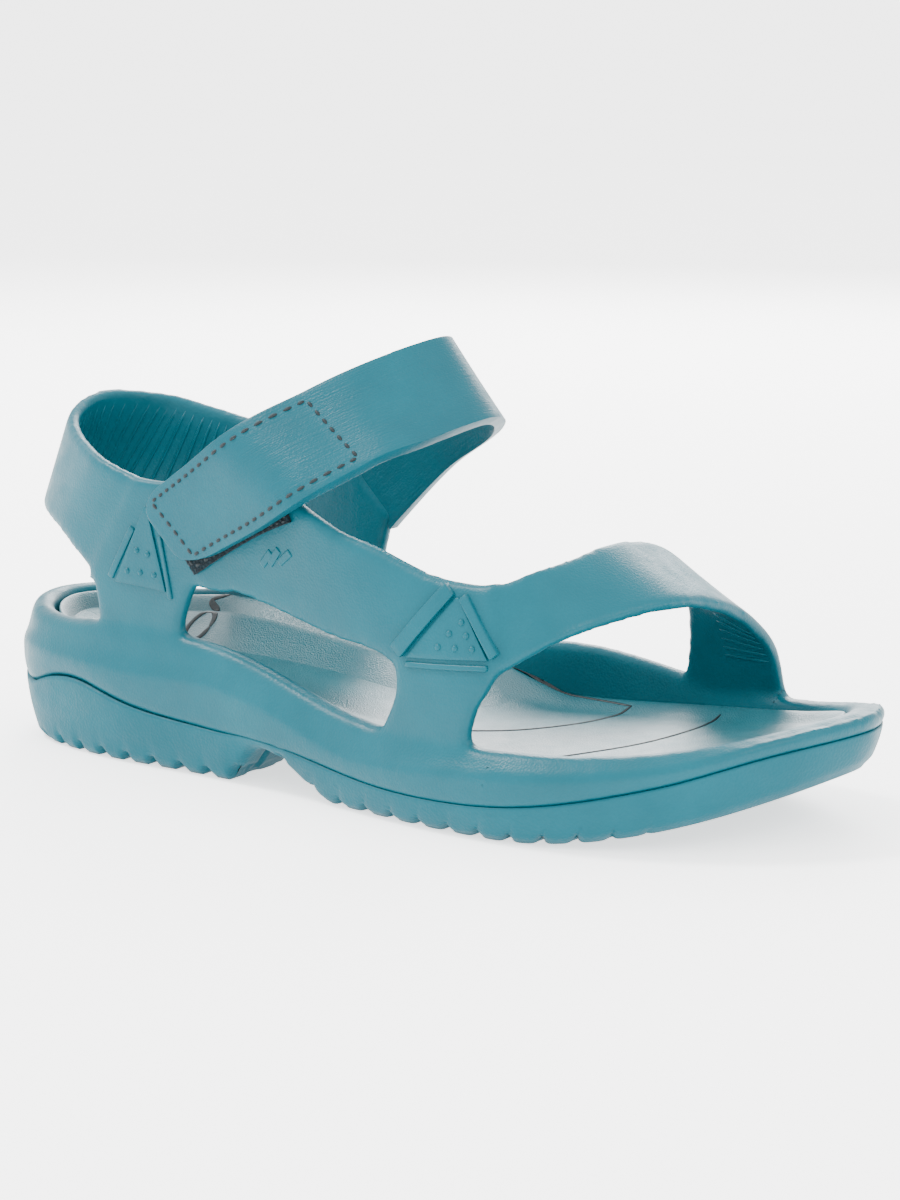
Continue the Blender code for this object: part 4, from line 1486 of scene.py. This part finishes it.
# ---------------------------------------------------------------- tapes and thread
@dataclass
class Closure:
    """Hook tape under the flap, loop tape on the panel, and their rows of stitches."""

    last: Last
    faces: BandFaces
    tape: float = 0.0011
    gap: float = 0.0003
    stitch: float = 0.0024
    stitch_gap: float = 0.0011
    thread: float = 0.00055
    loop_edges: Tuple[Tuple[Spot, ...], ...] = (
        ((.312, .0203), (.36, .0308), (.41, .0418), (.445, .0488)),
        ((.252, .0385), (.30, .0460), (.36, .0545), (.425, .0565)))
    hook_edges: Tuple[Tuple[Spot, ...], ...] = (
        ((.314, .0262), (.36, .0358), (.405, .0445), (.432, .0486)),
        ((.270, .0380), (.31, .0445), (.35, .0500), (.394, .0530)))

    def tape_face(self, edges: Sequence[Sequence[Spot]], out: float) -> Face:
        """The outer face of a tape between two edges, out from the wall's face."""
        def place(across: float, along: float) -> Vector:
            """A point on the tape."""
            spot = flat_curve(edges[0], along).lerp(flat_curve(edges[1], along), across)
            return self.last.wall_point(Side.OUTER, spot.x, spot.y, self.last.wall / 2 + out)
        return place

    def strip(self, name: str, edges: Sequence[Sequence[Spot]], out: float) -> bpy.types.Object:
        """A tape with a rough face and rounded edges."""
        face = self.tape_face(edges, out)

        def outward(across: float, along: float) -> Vector:
            """The tape's direction."""
            return Vector((0, -1, 0))

        shape = slab(face, outward, self.tape, 34, 70)
        for index, corner in enumerate(shape.verts):
            corner.co.y -= 0.00018 * math.sin(index * 12.9898) * math.sin(corner.co.x * 5200)
        return stand(name, shape, self.last)

    def seam(self, name: str, place: Face, outward: Face, loop: Sequence[Spot],
             lift: float) -> bpy.types.Object:
        """Stitches along a closed path on a face.

        Args:
            name: the piece's name.
            place: the face.
            outward: its direction.
            loop: the path's corners, as shares.
            lift: how far the thread's middle stands off the face.

        Returns:
            The object.
        """
        made = []
        pitch = self.stitch + self.stitch_gap
        for start, end in zip(loop, list(loop[1:]) + [loop[0]]):
            first, second = place(*start), place(*end)
            count = max(1, round((second - first).length / pitch))
            for index in range(count):
                at = [(index + share) / count for share in (0.16, 0.5, 0.84)]
                spots = [(start[0] + (end[0] - start[0]) * share,
                          start[1] + (end[1] - start[1]) * share) for share in at]
                rear, middle, front = (place(*spot) + outward(*spot) * lift for spot in spots)
                made.append(self.one_stitch(rear, front, middle, outward(*spots[1])))
        return stand(name, merged(made), self.last)

    def one_stitch(self, rear: Vector, front: Vector, middle: Vector,
                   up: Vector) -> bmesh.types.BMesh:
        """A single stitch: a slim bead that dips into the face at both ends."""
        shape = bmesh.new()
        bmesh.ops.create_uvsphere(shape, u_segments=8, v_segments=6, radius=1.0)
        along = front - rear
        across = along.normalized().cross(up).normalized()
        for corner in shape.verts:
            x, y, z = corner.co.z, corner.co.x, corner.co.y
            dip = -self.thread * 0.6 * x * x
            corner.co = (middle + along * 0.5 * x + across * self.thread * y
                         + up * (self.thread * 0.8 * z + dip))
        return shape

    def build(self) -> List[bpy.types.Object]:
        """The tapes and their stitches."""
        tape_finish, thread_finish = DARK_TAPE.make(), SEAM_THREAD.make()
        loop = self.strip("loop_strip", self.loop_edges, self.gap + self.tape)
        hook = self.strip("hook_strip", self.hook_edges, self.gap * 3 + self.tape * 2)
        dress(loop, tape_finish)
        dress(hook, tape_finish)
        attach(loop, "shoe")
        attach(hook, "flap")
        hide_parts("loop_tape")
        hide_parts("hook_tape")

        def flap_facing(across: float, along: float) -> Vector:
            """The flap's direction."""
            return facing(self.faces.instep, across, along)

        def outside(across: float, along: float) -> Vector:
            """Straight out from the wall."""
            return Vector((0, -1, 0))

        flap_loop = [(.10, .022), (.90, .022), (.90, .252), (.10, .252)]
        flap_seam = self.seam("flap_stitches", self.faces.instep, flap_facing, flap_loop, 0.0001)
        loop_face = self.tape_face(self.loop_edges, self.gap + self.tape)
        tape_seam = self.seam("tape_stitches", loop_face, outside,
                              [(.07, .03), (.93, .03), (.93, .97), (.07, .97)], 0.0)
        dress(flap_seam, thread_finish)
        dress(tape_seam, thread_finish)
        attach(flap_seam, "flap")
        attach(tape_seam, "shoe")
        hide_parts("hook_stitching")
        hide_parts("loop_stitching")
        return [loop, hook, flap_seam, tape_seam]


# ---------------------------------------------------------------- the studio
@dataclass(frozen=True)
class Studio:
    """A pale floor, soft lights and the camera."""

    azimuth: float = 34.27
    elevation: float = 10.99
    distance: float = 1.0115
    lens: float = 103.33
    target: Spot = (0.0108, 0.0003, 0.05475)
    floor_size: float = 80.0
    floor_glow: float = 1.5
    surround: float = 2.9
    lamps: Tuple[Tuple[str, Spot, float, float], ...] = (
        ("key", (-0.8, -0.3, 1.2), 0.30, 26.0), ("fill", (1.2, -0.3, 0.9), 0.5, 8.0),
        ("back", (-0.5, 1.1, 0.7), 0.8, 26.0))

    def floor(self) -> None:
        """A wide pale floor."""
        shape = bmesh.new()
        bmesh.ops.create_grid(shape, x_segments=1, y_segments=1, size=self.floor_size)
        mesh = bpy.data.meshes.new("floor")
        shape.to_mesh(mesh)
        shape.free()
        floor = bpy.data.objects.new("floor", mesh)
        bpy.context.scene.collection.objects.link(floor)
        shader = Shader("floor_paper")
        tone = shader.noise(3, 2)
        pale = ((0.2, (.90, .90, .90)), (0.8, (.93, .93, .93)))
        shader.feed("Base Color", shader.ramp(tone, pale))
        shader.set(Roughness=0.9, Specular_IOR_Level=0.1, Emission_Strength=self.floor_glow)
        shader.surface.inputs["Emission Color"].default_value = (1, 1, 1, 1)
        mesh.materials.append(shader.material)

    def lights(self) -> None:
        """A bright surround and three soft lamps."""
        world = bpy.data.worlds.new("studio")
        world.use_nodes = True
        world.node_tree.nodes["Background"].inputs["Color"].default_value = (1, 1, 1, 1)
        world.node_tree.nodes["Background"].inputs["Strength"].default_value = self.surround
        bpy.context.scene.world = world
        for name, spot, size, power in self.lamps:
            lamp = bpy.data.lights.new(name, "AREA")
            lamp.size = size
            lamp.energy = power
            item = bpy.data.objects.new(name, lamp)
            item.location = spot
            item.rotation_euler = (-Vector(spot)).to_track_quat("-Z", "Y").to_euler()
            bpy.context.scene.collection.objects.link(item)

    def camera(self) -> None:
        """The camera, turned to the sandal's outer side and a little to its toe."""
        azimuth, elevation = math.radians(self.azimuth), math.radians(self.elevation)
        back = Vector((math.sin(azimuth) * math.cos(elevation),
                       -math.cos(azimuth) * math.cos(elevation), math.sin(elevation)))
        data = bpy.data.cameras.new("camera")
        data.lens = self.lens
        data.sensor_width = 36.0
        data.clip_start, data.clip_end = 0.05, 50.0
        item = bpy.data.objects.new("camera", data)
        item.location = Vector(self.target) + back * self.distance
        item.rotation_euler = back.to_track_quat("Z", "Y").to_euler()
        bpy.context.scene.collection.objects.link(item)
        bpy.context.scene.camera = item


def main() -> None:
    """Build the sandal round its frame."""
    logging.basicConfig(level=logging.INFO, format="%(name)s: %(message)s")
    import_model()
    last = Last()
    faces = BandFaces(last)
    flex = SoleFlex(last)
    pieces = MouldedShell(last, faces, flex).build()
    pieces += marks_on_upper(last, faces)
    pieces += [Outsole(last, flex).build()]
    pieces += Footbed(last, flex).build()
    pieces += InstepStrap(last, faces).build()
    pieces += Closure(last, faces).build()
    for piece in pieces:
        report(piece)
    studio = Studio()
    studio.floor()
    studio.lights()
    studio.camera()


if __name__ == "__main__":
    main()
